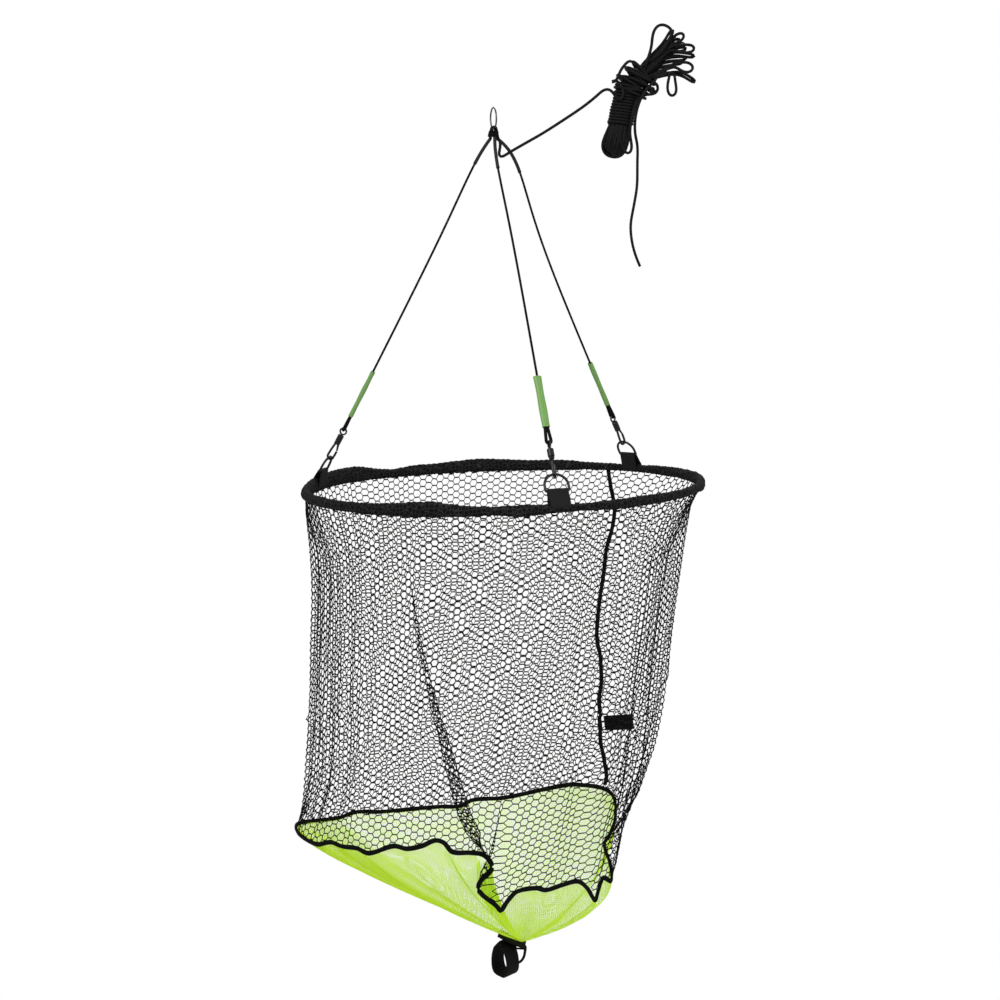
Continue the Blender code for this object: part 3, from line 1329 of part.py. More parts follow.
def build_rope():
    """Build the rope: its lead from the lashing, the wound hank and the hanging tail."""
    lead, hank, tail = rope_points()
    add_part(route_curve("rope_lead", lead, ROPE_RADIUS), "black_cord")
    add_part(route_curve("rope_hank", hank, ROPE_RADIUS, resolution=1), "black_cord")
    add_part(route_curve("rope_tail", tail, ROPE_RADIUS), "black_cord")
    total = route_length(lead) + route_length(hank) + route_length(tail)
    print("rope length", round(total, 3), "lead", round(route_length(lead), 3), "hank",
          round(route_length(hank), 3), "tail", round(route_length(tail), 3))
    print("hank points", len(hank), "least gap of the hank to itself, mm",
          round(least_gap(hank, ROPE_RADIUS) * 1000.0, 3))


clear_scene()
PARTS = make_collection("drop_net")
CUTTERS = make_collection("drop_net_cutters")
build_hang_ring()
build_ring_loops()
build_lashing()
build_leg_cords()
build_green_sleeves()
build_cord_loops()
build_swivel_eyes()
build_clip_bodies()
build_clip_gates()
build_d_rings()
build_d_tabs()
build_hoop()
build_bag()
build_side_seam()
build_bottom_strap()
build_rope()
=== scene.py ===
"""Looks of a drop net: hang ring, three clipped legs, hoop, mesh bag, carry strap and a wound rope."""

import logging
import math
from dataclasses import dataclass
from enum import Enum

import bpy
import numpy as np
from mathutils import Matrix, Vector, noise


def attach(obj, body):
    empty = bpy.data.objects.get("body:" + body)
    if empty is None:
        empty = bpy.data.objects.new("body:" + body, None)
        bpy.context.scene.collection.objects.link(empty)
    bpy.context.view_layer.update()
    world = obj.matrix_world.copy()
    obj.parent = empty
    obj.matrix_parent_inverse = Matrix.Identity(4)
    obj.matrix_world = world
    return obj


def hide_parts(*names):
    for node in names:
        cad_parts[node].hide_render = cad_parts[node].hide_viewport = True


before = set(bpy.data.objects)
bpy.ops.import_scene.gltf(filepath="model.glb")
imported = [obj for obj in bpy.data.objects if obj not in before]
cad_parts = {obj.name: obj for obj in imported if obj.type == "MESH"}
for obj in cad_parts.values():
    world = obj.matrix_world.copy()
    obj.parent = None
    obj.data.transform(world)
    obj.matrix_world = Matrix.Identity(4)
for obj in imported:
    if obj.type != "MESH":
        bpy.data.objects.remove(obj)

LOG = logging.getLogger("drop_net")
QUARTER_TURN = 0.5 * math.pi
HALF_TURN = math.pi
FULL_TURN = 2.0 * math.pi
GAP = 0.0003
UV_NAME = "UVMap"

# The table of how the netting's columns spread: its first hoop angle, columns to a degree, rows down the wall
CLOTH_START = 180.0
CLOTH_STEPS = 4
CLOTH_ROWS = 41
# How far the wall's corners are pulled in beside its two ends, in metres, and over which angle in radians
CORNER_PULL = 0.042
CORNER_SPREAD = 0.32

# Sizes shared with the part's source
RING_RADIUS = 0.0155
RING_WIRE_RADIUS = 0.0011
RING_TURN = math.radians(16.0)
RING_BOTTOM = RING_WIRE_RADIUS - 2.0 * RING_RADIUS
LASHING_TOP = RING_BOTTOM - 0.0052
LASHING_BOTTOM = LASHING_TOP - 0.0110
WHIPPING_BOTTOM = LASHING_BOTTOM + 0.0050
HOOP_RADIUS = 0.2955
HOOP_HEIGHT = RING_BOTTOM - 0.5271
HEM_RADIUS = 0.0064
NET_TOP = HOOP_HEIGHT - 0.0046
BOTTOM_DEPTH = 0.702
TIP = (0.010, -0.020)
CORD_RADIUS = 0.0017
SLEEVE_RADIUS = CORD_RADIUS + GAP + 0.0005
SLEEVE_CIRCLE = (2.0 * SLEEVE_RADIUS + GAP) / math.sqrt(3.0)
D_WIRE_RADIUS = 0.0016
D_HALF_WIDTH = 0.0169
D_HEIGHT = 0.0247
EYE_RADIUS = 0.0050
EYE_WIRE_RADIUS = 0.0014
EYE_CENTRE = 0.0385 + 0.0066
BIGHT_BOTTOM = D_HEIGHT + EYE_CENTRE + EYE_RADIUS - EYE_WIRE_RADIUS - GAP - CORD_RADIUS
BIGHT_HALF = EYE_WIRE_RADIUS + GAP + CORD_RADIUS
GREEN_BOTTOM = BIGHT_BOTTOM + 0.0245
GREEN_LENGTH = 0.078
ROPE_RADIUS = 0.00215

# The seam between black and green netting: hoop angle in degrees, then x, y and depth below the hoop in mm
SEAM_MARKS = (
    (0, 150, 0, 541), (7, 160, 25, 524), (16, 160, 55, 499), (25, 143, 85, 492), (35, 107, 115, 494),
    (41, 92, 131, 498), (54.4, 50, 163, 514), (71, -12, 189, 533), (83.6, -62, 199, 538),
    (88.8, -84, 200, 548), (96.7, -117, 199, 548), (121.3, -213, 171, 546), (131.9, -249, 149, 539),
    (141.4, -276, 125, 541), (178.7, -328, 4, 514), (193.8, -321, -48, 514), (213.6, -288, -111, 512),
    (222.6, -265, -135, 502), (228.4, -248, -150, 504), (235.4, -225, -165, 503),
    (240.4, -207, -174, 508), (250.3, -170, -188, 494), (255, -151, -193, 497), (260.3, -129, -197, 492),
    (264.9, -110, -199, 484), (268, -97, -200, 488), (270.6, -86, -200, 501), (275.5, -58, -198, 504),
    (278.5, -42, -196, 508), (281, -31, -194, 521), (282.5, -32, -194, 533), (284.2, -48, -197, 548),
    (285.6, -49, -197, 562), (287.2, -26, -193, 584), (288.6, -19, -191, 593), (290.8, -9, -188, 580),
    (293.5, 4, -184, 568), (300.6, 33, -172, 567), (304.7, 47, -164, 573), (311.5, 70, -150, 571),
    (320.4, 95, -128, 573), (325.8, 109, -112, 589), (331, 121, -96, 613), (334, 126, -90, 602),
    (337.5, 134, -82, 584), (341.5, 147, -68, 593), (347.5, 147, -45, 574), (354, 140, -20, 552),
)
# Soft folds hanging in the wall: knots of (share down the wall, hoop angle), height and half-width in metres
WALL_FOLDS = (
    (((0.0, 222.0), (0.5, 226.0), (0.95, 230.0)), 0.005, 0.014),
    (((0.1, 297.0), (0.6, 305.0), (0.95, 318.0)), -0.006, 0.018),
    (((0.0, 120.0), (0.5, 112.0), (0.95, 100.0)), 0.007, 0.016),
    (((0.0, 80.0), (0.5, 77.0), (0.95, 66.0)), -0.006, 0.014),
    (((0.0, 142.0), (0.6, 138.0), (0.95, 136.0)), 0.006, 0.014),
    (((0.55, 358.0), (0.8, 4.0), (0.98, 12.0)), 0.006, 0.008),
    (((0.55, 344.0), (0.8, 350.0), (0.98, 355.0)), 0.006, 0.008),
)
# Pleats where the netting lies over itself: share down the wall, hoop angle, and in metres how far the pleat
# reaches and how much more cloth it takes in
WALL_PLEATS = (
    ((0.10, 244.0, 0.0000, 0.000), (0.20, 246.5, 0.0010, 0.004), (0.30, 248.9, 0.0020, 0.010),
     (0.384, 251.2, 0.0029, 0.018), (0.564, 258.0, 0.0049, 0.034), (0.734, 265.7, 0.0074, 0.050),
     (0.86, 272.0, 0.0094, 0.060), (0.985, 280.6, 0.0102, 0.066)),
    ((0.0, 322.0, 0.0004, 0.000), (0.24, 327.0, 0.0012, 0.004), (0.49, 329.5, 0.0022, 0.008),
     (0.66, 334.0, 0.0034, 0.014), (0.95, 341.0, 0.0046, 0.024)),
)
# How far the wall swells out at its right and left ends: share down the wall and lift in metres
RIGHT_SWELL = ((0.0, -0.001), (0.06, -0.007), (0.12, -0.006), (0.30, -0.002), (0.42, 0.001), (0.52, 0.005),
               (0.60, 0.010), (0.75, 0.017), (0.88, 0.018), (0.95, 0.010), (1.0, 0.0))
LEFT_SWELL = ((0.0, 0.001), (0.05, 0.007), (0.10, 0.008), (0.25, 0.007), (0.45, 0.009), (0.65, 0.008),
              (0.80, 0.005), (0.93, 0.0), (1.0, 0.0))
# Ripples round the wall: how many, height in metres, phase, and drift over the wall's height
WALL_RIPPLES = ((9, 0.0026, 0.4, 1.3), (17, 0.0018, 2.1, -2.0), (31, 0.0010, 4.0, 2.7),
                (47, 0.0010, 1.0, 11.0), (83, 0.0005, 0.3, -17.0))
# Ripples round the green bottom: how many, height in metres, phase, and drift from seam to tip
BOTTOM_RIPPLES = ((9.0, 0.0016, 1.0, 2.0), (19.0, 0.0007, 0.6, -3.0), (5.0, 0.0030, 4.0, 0.0))
# How full the green bottom hangs: the power of its curve, and how much less it is on the right
BOTTOM_CURVE = 0.67
BOTTOM_CURVE_LEAN = 0.17
# Cloth taken in along the right end of the wall at the seam, and where its middle lies, in metres and degrees
RIGHT_GATHER = 0.036
RIGHT_GATHER_ANGLE = 355.0
RIGHT_GATHER_SPREAD = 9.0
# The side seam down the wall: share down the wall and hoop angle
SIDE_SEAM_MARKS = (
    (0.0, 55.0), (0.068, 51.6), (0.096, 49.7), (0.128, 48.1), (0.180, 47.5), (0.248, 48.7), (0.330, 47.9),
    (0.404, 47.6), (0.502, 46.5), (0.532, 45.7), (0.598, 41.7), (0.692, 38.2), (0.732, 38.0), (0.776, 34.5),
    (0.826, 31.2), (0.874, 30.2), (0.932, 27.3), (0.985, 24.6),
)
# How far the hoop's fabric reaches above and below the rod's middle: hoop angle, up and down in mm
HEM_MARKS = (
    (0, 9, 10), (11, 9, 8), (28, 8, 7), (47, 5.5, 6), (61, 6, 6.5), (70, 9, 8), (82, 9, 9), (97, 13, 9),
    (105, 11, 9), (113, 8.5, 9), (119, 9, 9), (126, 5.5, 9), (132, 8, 8), (137, 13, 8), (143, 17, 8),
    (152, 17, 8), (160, 15, 9), (170, 12, 10), (180, 8, 9), (200, 7, 7.5), (222, 6.5, 8),
    (238, 9, 9), (250, 13, 9), (259, 8.5, 8), (266, 6, 6), (274, 7, 9), (282, 6.5, 6.5), (290, 5, 5.5),
    (303, 6.5, 7.5), (313, 7, 7), (325, 6, 6.5), (343, 6, 6.5), (352, 8, 10),
)


class Leg(Enum):
    """The three legs, each with its hoop angle, upper tube length and bow."""

    FRONT = ("front", -75.0, 0.053, (-0.0044, 0.0, 0.0))
    RIGHT = ("right", 45.0, 0.066, (0.0172, 0.0, 0.0050))
    LEFT = ("left", 165.0, 0.046, (-0.0065, 0.0, 0.0))

    def __init__(self, label: str, angle: float, sleeve: float, bow: tuple[float, float, float]) -> None:
        """Keep the leg's own facts.

        Args:
            label: The leg's name in the part.
            angle: Its place round the hoop in degrees.
            sleeve: The length of its grey upper tube.
            bow: How far its cord bows out near the top.
        """
        self.label = label
        self.angle = math.radians(angle)
        self.sleeve = sleeve
        self.bow = Vector(bow)

    def radial(self) -> Vector:
        """Return the outward direction at the leg's place on the hoop."""
        return Vector((math.cos(self.angle), math.sin(self.angle), 0.0))

    def tangent(self) -> Vector:
        """Return the direction along the hoop at the leg's place."""
        return Vector((-math.sin(self.angle), math.cos(self.angle), 0.0))

    def bar(self) -> Vector:
        """Return the middle of the D-ring's straight bar."""
        return self.radial() * (HOOP_RADIUS - 0.0100) + Vector((0.0, 0.0, HOOP_HEIGHT + 0.0228))

    def top(self) -> Vector:
        """Return where the leg's cord leaves the lashing."""
        return self.radial() * (SLEEVE_CIRCLE + 0.0018) + Vector((0.0, 0.0, WHIPPING_BOTTOM))

    def axis(self) -> Vector:
        """Return the direction up the leg."""
        return (self.top() - Vector((0.0, 0.0, 0.0040)) - self.bar()).normalized()

    def frame(self) -> Matrix:
        """Return the leg's frame: X along the hoop, Y inwards, Z up the leg, zero at the bar."""
        x = self.tangent()
        z = self.axis()
        placed = Matrix((x, z.cross(x), z)).transposed().to_4x4()
        placed.translation = self.bar()
        return placed


class Spline:
    """Smooth paths and tables through measured marks."""

    @staticmethod
    def through(knots: list, steps: int = 16) -> list[Vector]:
        """Return a dense smooth path through knots.

        Args:
            knots: The points to pass through.
            steps: The number of points per stretch.

        Returns:
            The path's points, with the first and last knot at its ends.
        """
        spots = [Vector(k) for k in knots]
        spots = [2.0 * spots[0] - spots[1]] + spots + [2.0 * spots[-1] - spots[-2]]
        path = []
        for i in range(1, len(spots) - 2):
            a, b, c, d = spots[i - 1:i + 3]
            for k in range(steps):
                t = k / steps
                path.append(0.5 * (2.0 * b + (c - a) * t + (2.0 * a - 5.0 * b + 4.0 * c - d) * t * t
                                   + (3.0 * b - a - 3.0 * c + d) * t ** 3))
        path.append(spots[-2])
        return path

    @staticmethod
    def length(path: list[Vector]) -> float:
        """Return the length of a path."""
        return sum((b - a).length for a, b in zip(path, path[1:]))

    @staticmethod
    def evenly(path: list[Vector], spacing: float) -> list[Vector]:
        """Return points of a path at an even spacing.

        Args:
            path: A dense path.
            spacing: The wanted distance between points.

        Returns:
            The evenly spaced points, both ends among them.
        """
        spots = np.array([p[:] for p in path])
        run = np.concatenate([[0.0], np.cumsum(np.linalg.norm(np.diff(spots, axis=0), axis=1))])
        wanted = np.linspace(0.0, run[-1], max(2, int(round(run[-1] / spacing)) + 1))
        return [Vector(p) for p in np.stack([np.interp(wanted, run, spots[:, c]) for c in range(3)], axis=1)]

    @staticmethod
    def between(path: list[Vector], start: float, end: float) -> list[Vector]:
        """Return a path's stretch between two distances along it."""
        kept = []
        walked = 0.0
        for a, b in zip(path, path[1:]):
            step = (b - a).length
            if walked <= start < walked + step:
                kept.append(a.lerp(b, (start - walked) / step))
            if start + 0.0002 < walked + step < end - 0.0002:
                kept.append(b.copy())
            if walked < end <= walked + step:
                kept.append(a.lerp(b, (end - walked) / step))
            walked += step
        if end >= walked:
            kept.append(path[-1].copy())
        return kept

    @staticmethod
    def round_table(marks: tuple, samples: int = 1440) -> tuple[np.ndarray, np.ndarray]:
        """Return a smooth table that closes on itself after 360 degrees.

        Args:
            marks: Rows of an angle in degrees and the values there.
            samples: The number of rows to return.

        Returns:
            The angles and the values at them.
        """
        rows = np.array(marks, float)
        whole_turn = np.eye(1, rows.shape[1]) * 360.0
        rows = np.concatenate([rows[-2:] - whole_turn, rows, rows[:2] + whole_turn])
        angles = np.linspace(0.0, 360.0, samples, endpoint=False)
        place = np.clip(np.searchsorted(rows[:, 0], angles, side="right") - 1, 1, len(rows) - 3)
        back, here, ahead, far = (rows[place + k] for k in (-1, 0, 1, 2))
        width = ahead[:, :1] - here[:, :1]
        t = (angles[:, None] - here[:, :1]) / width
        before = (ahead[:, 1:] - back[:, 1:]) / (ahead[:, :1] - back[:, :1])
        after = (far[:, 1:] - here[:, 1:]) / (far[:, :1] - here[:, :1])
        values = ((2 * t ** 3 - 3 * t ** 2 + 1) * here[:, 1:]
                  + (t ** 3 - 2 * t ** 2 + t) * before * width
                  + (3 * t ** 2 - 2 * t ** 3) * ahead[:, 1:]
                  + (t ** 3 - t ** 2) * after * width)
        return angles, values


class Maker:
    """Turns points and faces into pieces that ride on the part's bodies."""

    @staticmethod
    def piece(name: str, vertices: np.ndarray, faces: list, smooth: bool = True) -> bpy.types.Object:
        """Return a new mesh piece.

        Args:
            name: The piece's name.
            vertices: The points, in metres.
            faces: The faces, as lists of point numbers that turn outwards.
            smooth: True to shade it smooth.

        Returns:
            The piece, at the origin.
        """
        mesh = bpy.data.meshes.new(name)
        mesh.from_pydata([tuple(v) for v in vertices], [], [tuple(f) for f in faces])
        mesh.validate()
        if smooth:
            mesh.shade_smooth()
        thing = bpy.data.objects.new(name, mesh)
        bpy.context.scene.collection.objects.link(thing)
        return thing

    @staticmethod
    def only(thing: bpy.types.Object) -> None:
        """Select one object alone and make it the active one."""
        bpy.ops.object.select_all(action="DESELECT")
        thing.select_set(True)
        bpy.context.view_layer.objects.active = thing

    @staticmethod
    def settle(thing: bpy.types.Object) -> bpy.types.Object:
        """Apply an object's modifiers and its place, so that its place is in its mesh."""
        Maker.only(thing)
        for change in list(thing.modifiers):
            bpy.ops.object.modifier_apply(modifier=change.name)
        bpy.ops.object.transform_apply(location=True, rotation=True, scale=True)
        return thing

    @staticmethod
    def dress(thing: bpy.types.Object, finish: bpy.types.Material, slot: str, body: str, *nodes: str) -> None:
        """Give a piece its finish, put it on a body and let it stand for CAD nodes.

        Args:
            thing: The piece.
            finish: Its material.
            slot: Not used.
            body: The body that it rides on.
            *nodes: The CAD nodes that it stands for.
        """
        thing.data.materials.clear()
        thing.data.materials.append(finish)
        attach(thing, body)
        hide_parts(*nodes)
        LOG.info("piece %s: %d faces on body %s", thing.name, len(thing.data.polygons), body)

    @staticmethod
    def bands(rings: int, sides: int, closed: bool = True) -> list[tuple[int, int, int, int]]:
        """Return the four-sided faces between each ring of points and the next.

        Args:
            rings: The number of rings.
            sides: The number of points in each ring.
            closed: True where the last ring meets the first.

        Returns:
            The faces, ring by ring.
        """
        faces = []
        for i in range(rings if closed else rings - 1):
            j = (i + 1) % rings
            for k in range(sides):
                m = (k + 1) % sides
                faces.append((i * sides + k, i * sides + m, j * sides + m, j * sides + k))
        return faces

    @staticmethod
    def lay_map(thing: bpy.types.Object, maps: list[float]) -> None:
        """Give a piece a UV map: two numbers for each corner of each face."""
        layer = thing.data.uv_layers.new(name=UV_NAME)
        layer.data.foreach_set("uv", np.array(maps, np.float32))

    @staticmethod
    def round_edges(thing: bpy.types.Object, width: float) -> None:
        """Put a small bevel on a piece's sharp edges."""
        edge = thing.modifiers.new("edge", "BEVEL")
        edge.width = width
        edge.segments = 2
        edge.limit_method = "ANGLE"

    @staticmethod
    def cross_frame(ahead: np.ndarray, closed: bool, up: Vector | None) -> tuple[np.ndarray, np.ndarray]:
        """Return two directions across a path at each of its points.

        Args:
            ahead: The path's direction at each point.
            closed: True where the path closes on itself.
            up: The first direction to keep to, or None to turn as little as possible.

        Returns:
            The first and the second directions.
        """
        upright = (0.0, 0.0, 1.0) if abs(ahead[0][2]) < 0.9 else (1.0, 0.0, 0.0)
        side = np.array(up[:] if up is not None else upright)
        wide = np.zeros_like(ahead)
        for k, way in enumerate(ahead):
            if up is not None:
                side = np.array(up[:])
            side = side - way * side.dot(way)
            side /= np.linalg.norm(side)
            wide[k] = side
        deep = np.cross(ahead, wide)
        if closed and up is None:
            last = wide[-1] - ahead[0] * wide[-1].dot(ahead[0])
            last /= np.linalg.norm(last)
            slip = math.atan2(last.dot(deep[0]), last.dot(wide[0]))
            turn = (-slip * np.arange(len(ahead)) / len(ahead))[:, None]
            wide, deep = wide * np.cos(turn) + deep * np.sin(turn), deep * np.cos(turn) - wide * np.sin(turn)
        return wide, deep

    @staticmethod
    def tube(name: str, path: list[Vector], radius: float | list[float], sides: int = 10, closed: bool = False,
             flatten: float = 1.0, up: Vector | None = None) -> bpy.types.Object:
        """Return a round or flattened tube along a path, with a UV map along and round it.

        Args:
            name: The piece's name.
            path: The centreline.
            radius: One radius, or one per point.
            sides: The number of sides.
            closed: True where the path closes on itself.
            flatten: The thickness across the second direction as a share of the radius.
            up: The wide direction to keep to, where the tube is flat.

        Returns:
            The tube.
        """
        spots = np.array([p[:] for p in path], float)
        count = len(spots)
        radii = np.full(count, radius) if np.isscalar(radius) else np.array(radius, float)
        if closed:
            ahead = np.roll(spots, -1, axis=0) - np.roll(spots, 1, axis=0)
        else:
            ahead = np.gradient(spots, axis=0)
        ahead /= np.linalg.norm(ahead, axis=1)[:, None]
        wide, deep = Maker.cross_frame(ahead, closed, up)
        angles = FULL_TURN * np.arange(sides) / sides
        ring = (wide[:, None, :] * np.cos(angles)[None, :, None]
                + deep[:, None, :] * np.sin(angles)[None, :, None] * flatten)
        points = (spots[:, None, :] + ring * radii[:, None, None]).reshape(-1, 3)
        stretches = np.diff(np.concatenate([spots, spots[:1]]) if closed else spots, axis=0)
        step = np.linalg.norm(stretches, axis=1)
        run = np.concatenate([[0.0], np.cumsum(step)]) / (FULL_TURN * float(np.mean(radii)))
        faces = Maker.bands(count, sides, closed)
        maps = []
        for i in range(len(step)):
            for k in range(sides):
                low, high = k / sides, (k + 1) / sides
                maps += [run[i], low, run[i], high, run[i + 1], high, run[i + 1], low]
        if not closed:
            faces.append(tuple(range(sides))[::-1])
            faces.append(tuple((count - 1) * sides + k for k in range(sides)))
            maps += [0.0] * (4 * sides)
        made = Maker.piece(name, points, faces)
        Maker.lay_map(made, maps)
        return made

    @staticmethod
    def grid(name: str, rows: np.ndarray, size: tuple[float, float]) -> bpy.types.Object:
        """Return a cloth-like grid of points, with a UV map in metres.

        Args:
            name: The piece's name.
            rows: Points in an array of rows by columns by three.
            size: The width of its rows and the length of its columns, for the UV map.

        Returns:
            The grid.
        """
        count, across = rows.shape[:2]
        faces, maps = [], []
        for i in range(count - 1):
            for k in range(across - 1):
                here, after = i * across + k, (i + 1) * across + k
                faces.append((here, after, after + 1, here + 1))
                u0, u1 = size[0] * k / across, size[0] * (k + 1) / across
                v0, v1 = size[1] * i / count, size[1] * (i + 1) / count
                maps += [u0, v0, u0, v1, u1, v1, u1, v0]
        made = Maker.piece(name, rows.reshape(-1, 3), faces)
        Maker.lay_map(made, maps)
        return made


class Strands:
    """Collects the straight strands of a netting and makes one mesh of them."""

    overlap = 0.4
    first_side = 0.25

    def __init__(self) -> None:
        """Start with no strands."""
        self.vertices: list[np.ndarray] = []
        self.faces: list[tuple] = []
        self.count = 0

    def add(self, starts: np.ndarray, ends: np.ndarray, radius: float, sides: int = 3) -> None:
        """Add strands of one thickness.

        Args:
            starts: Their first ends.
            ends: Their other ends.
            radius: Their radius.
            sides: The number of sides of each.
        """
        way = ends - starts
        long_enough = np.linalg.norm(way, axis=1) > 1e-5
        starts, ends, way = starts[long_enough], ends[long_enough], way[long_enough]
        way = way / np.linalg.norm(way, axis=1)[:, None]
        starts, ends = starts - way * radius * self.overlap, ends + way * radius * self.overlap
        rough = np.where(np.abs(way[:, 2:3]) < 0.8, np.array([[0.0, 0.0, 1.0]]), np.array([[0.3, 1.0, 0.0]]))
        wide = rough - way * np.sum(rough * way, axis=1)[:, None]
        wide /= np.linalg.norm(wide, axis=1)[:, None]
        deep = np.cross(way, wide)
        rings = []
        for end in (starts, ends):
            for k in range(sides):
                angle = FULL_TURN * (k + self.first_side) / sides
                rings.append(end + radius * (wide * math.cos(angle) + deep * math.sin(angle)))
        block = np.stack(rings, axis=1).reshape(-1, 3)
        self.vertices.append(block)
        base = self.count + np.arange(len(starts)) * 2 * sides
        for k in range(sides):
            m = (k + 1) % sides
            self.faces += list(zip(base + k, base + m, base + sides + m, base + sides + k))
        self.faces += list(zip(*[base + k for k in reversed(range(sides))]))
        self.faces += list(zip(*[base + sides + k for k in range(sides)]))
        self.count += len(block)

    def build(self, name: str) -> bpy.types.Object:
        """Return the strands as one piece."""
        return Maker.piece(name, np.concatenate(self.vertices), self.faces)


class Graph:
    """Adds nodes and links to one node tree."""

    def __init__(self, tree: bpy.types.NodeTree) -> None:
        """Keep the tree."""
        self.tree = tree

    def add(self, kind: str, inputs: dict | None = None, **settings: str) -> bpy.types.Node:
        """Return a new shader node.

        Args:
            kind: The node's type, without the word that all shader nodes start with.
            inputs: A value or another node's output for each input, by its name or number.
            **settings: The node's own properties, which are set before its inputs.

        Returns:
            The node.
        """
        node = self.tree.nodes.new("ShaderNode" + kind)
        for name, value in settings.items():
            setattr(node, name, value)
        self.feed(node, inputs or {})
        return node

    def feed(self, node: bpy.types.Node, inputs: dict) -> None:
        """Set or link a node's inputs, each with a value or with another node's output."""
        for name, value in inputs.items():
            if isinstance(value, bpy.types.NodeSocket):
                self.tree.links.new(value, node.inputs[name])
            else:
                node.inputs[name].default_value = value


@dataclass(frozen=True)
class Finish:
    """A plain finish: colour, roughness, an optional painted glow and what lies over it."""

    name: str
    colour: tuple[float, float, float]
    roughness: float
    metallic: float = 0.0
    specular: float = 0.5
    glow: float = 0.0
    mottle: float = 0.0
    mottle_scale: float = 60.0
    gloss_range: float = 0.08
    # bright: emission strength in the finish's own colour, a painted glow on a surface that is no lamp
    bright: float = 0.0
    netting: float = 0.0
    netting_colour: tuple[float, float, float] = (0.036, 0.036, 0.035)

    def make(self) -> bpy.types.Material:
        """Return the finish as a new material."""
        made = bpy.data.materials.new(self.name)
        made.use_nodes = True
        graph = Graph(made.node_tree)
        shader = made.node_tree.nodes["Principled BSDF"]
        graph.feed(shader, {"Base Color": (*self.colour, 1.0), "Roughness": self.roughness,
                            "Metallic": self.metallic, "Specular IOR Level": self.specular})
        if self.glow:
            graph.feed(shader, {"Subsurface Weight": self.glow, "Subsurface Radius": (0.004, 0.006, 0.001),
                                "Subsurface Scale": 0.5})
        # Painted glow: the surface emits its own colour, so it shines though it is no lamp
        if self.bright:
            graph.feed(shader, {"Emission Color": (*self.colour, 1.0), "Emission Strength": self.bright})
        if self.mottle:
            self.add_mottle(graph, shader)
        if self.netting:
            self.add_netting(graph, shader)
        return made

    def add_netting(self, graph: Graph, shader: bpy.types.Node) -> None:
        """Draw the paler strands of bunched netting over the finish."""
        place = graph.add("TexCoord")
        cells = graph.add("TexVoronoi", {"Scale": self.netting, "Randomness": 0.75,
                                         "Vector": place.outputs["Object"]}, feature="DISTANCE_TO_EDGE")
        strand = graph.add("MapRange", {"From Max": 0.09, "To Min": 1.0, "To Max": 0.0,
                                        "Value": cells.outputs["Distance"]})
        tint = graph.add("Mix", {"A": (*self.colour, 1.0), "B": (*self.netting_colour, 1.0),
                                 "Factor": strand.outputs["Result"]}, data_type="RGBA")
        graph.feed(shader, {"Base Color": tint.outputs["Result"]})

    def add_mottle(self, graph: Graph, shader: bpy.types.Node) -> None:
        """Vary a material's colour and roughness a little over its surface."""
        place = graph.add("TexCoord")
        cloud = graph.add("TexNoise", {"Scale": self.mottle_scale, "Detail": 4.0,
                                       "Vector": place.outputs["Object"]})
        low = [c * (1.0 - self.mottle) for c in self.colour]
        high = [min(1.0, c * (1.0 + self.mottle)) for c in self.colour]
        tint = graph.add("Mix", {"A": (*low, 1.0), "B": (*high, 1.0), "Factor": cloud.outputs["Fac"]},
                         data_type="RGBA")
        gloss = graph.add("MapRange", {"To Min": max(0.02, self.roughness - self.gloss_range),
                                       "To Max": min(1.0, self.roughness + self.gloss_range),
                                       "Value": cloud.outputs["Fac"]})
        graph.feed(shader, {"Base Color": tint.outputs["Result"], "Roughness": gloss.outputs["Result"]})


@dataclass(frozen=True)
class WovenFinish(Finish):
    """A finish with a weave that follows the piece's own UV map."""

    along: float = 1.0
    across: float = 1.0
    height: float = 0.0002
    braided: bool = False

    def make(self) -> bpy.types.Material:
        """Return the finish as a new material with raised yarns."""
        made = super().make()
        graph = Graph(made.node_tree)
        place = graph.add("UVMap", uv_map=UV_NAME)
        split = graph.add("SeparateXYZ", {"Vector": place.outputs["UV"]})
        if self.braided:
            rates, join = ((self.along, self.across), (self.along, -self.across)), "MAXIMUM"
        else:
            rates, join = ((0.0, self.across), (self.along, 0.0)), "MULTIPLY"
        waves = [self.wave(graph, split, along, across) for along, across in rates]
        both = graph.add("Math", {0: waves[0], 1: waves[1]}, operation=join)
        raised = graph.add("Bump", {"Distance": self.height, "Strength": 1.0, "Height": both.outputs["Value"]})
        graph.feed(made.node_tree.nodes["Principled BSDF"], {"Normal": raised.outputs["Normal"]})
        return made

    @staticmethod
    def wave(graph: Graph, split: bpy.types.Node, along: float, across: float) -> bpy.types.NodeSocket:
        """Return the socket of a wave that runs over the UV map.

        Args:
            graph: The material's nodes.
            split: The node that splits the UV map.
            along: Waves per unit along.
            across: Waves per unit across.

        Returns:
            The output socket, from 0 to 1.
        """
        parts = [graph.add("Math", {0: split.outputs[axis], 1: FULL_TURN * rate}, operation="MULTIPLY")
                 for axis, rate in (("X", along), ("Y", across))]
        total = graph.add("Math", {0: parts[0].outputs["Value"], 1: parts[1].outputs["Value"]}, operation="ADD")
        swing = graph.add("Math", {0: total.outputs["Value"]}, operation="SINE")
        return graph.add("Math", {0: swing.outputs["Value"], 1: 0.5, 2: 0.5},
                         operation="MULTIPLY_ADD").outputs["Value"]


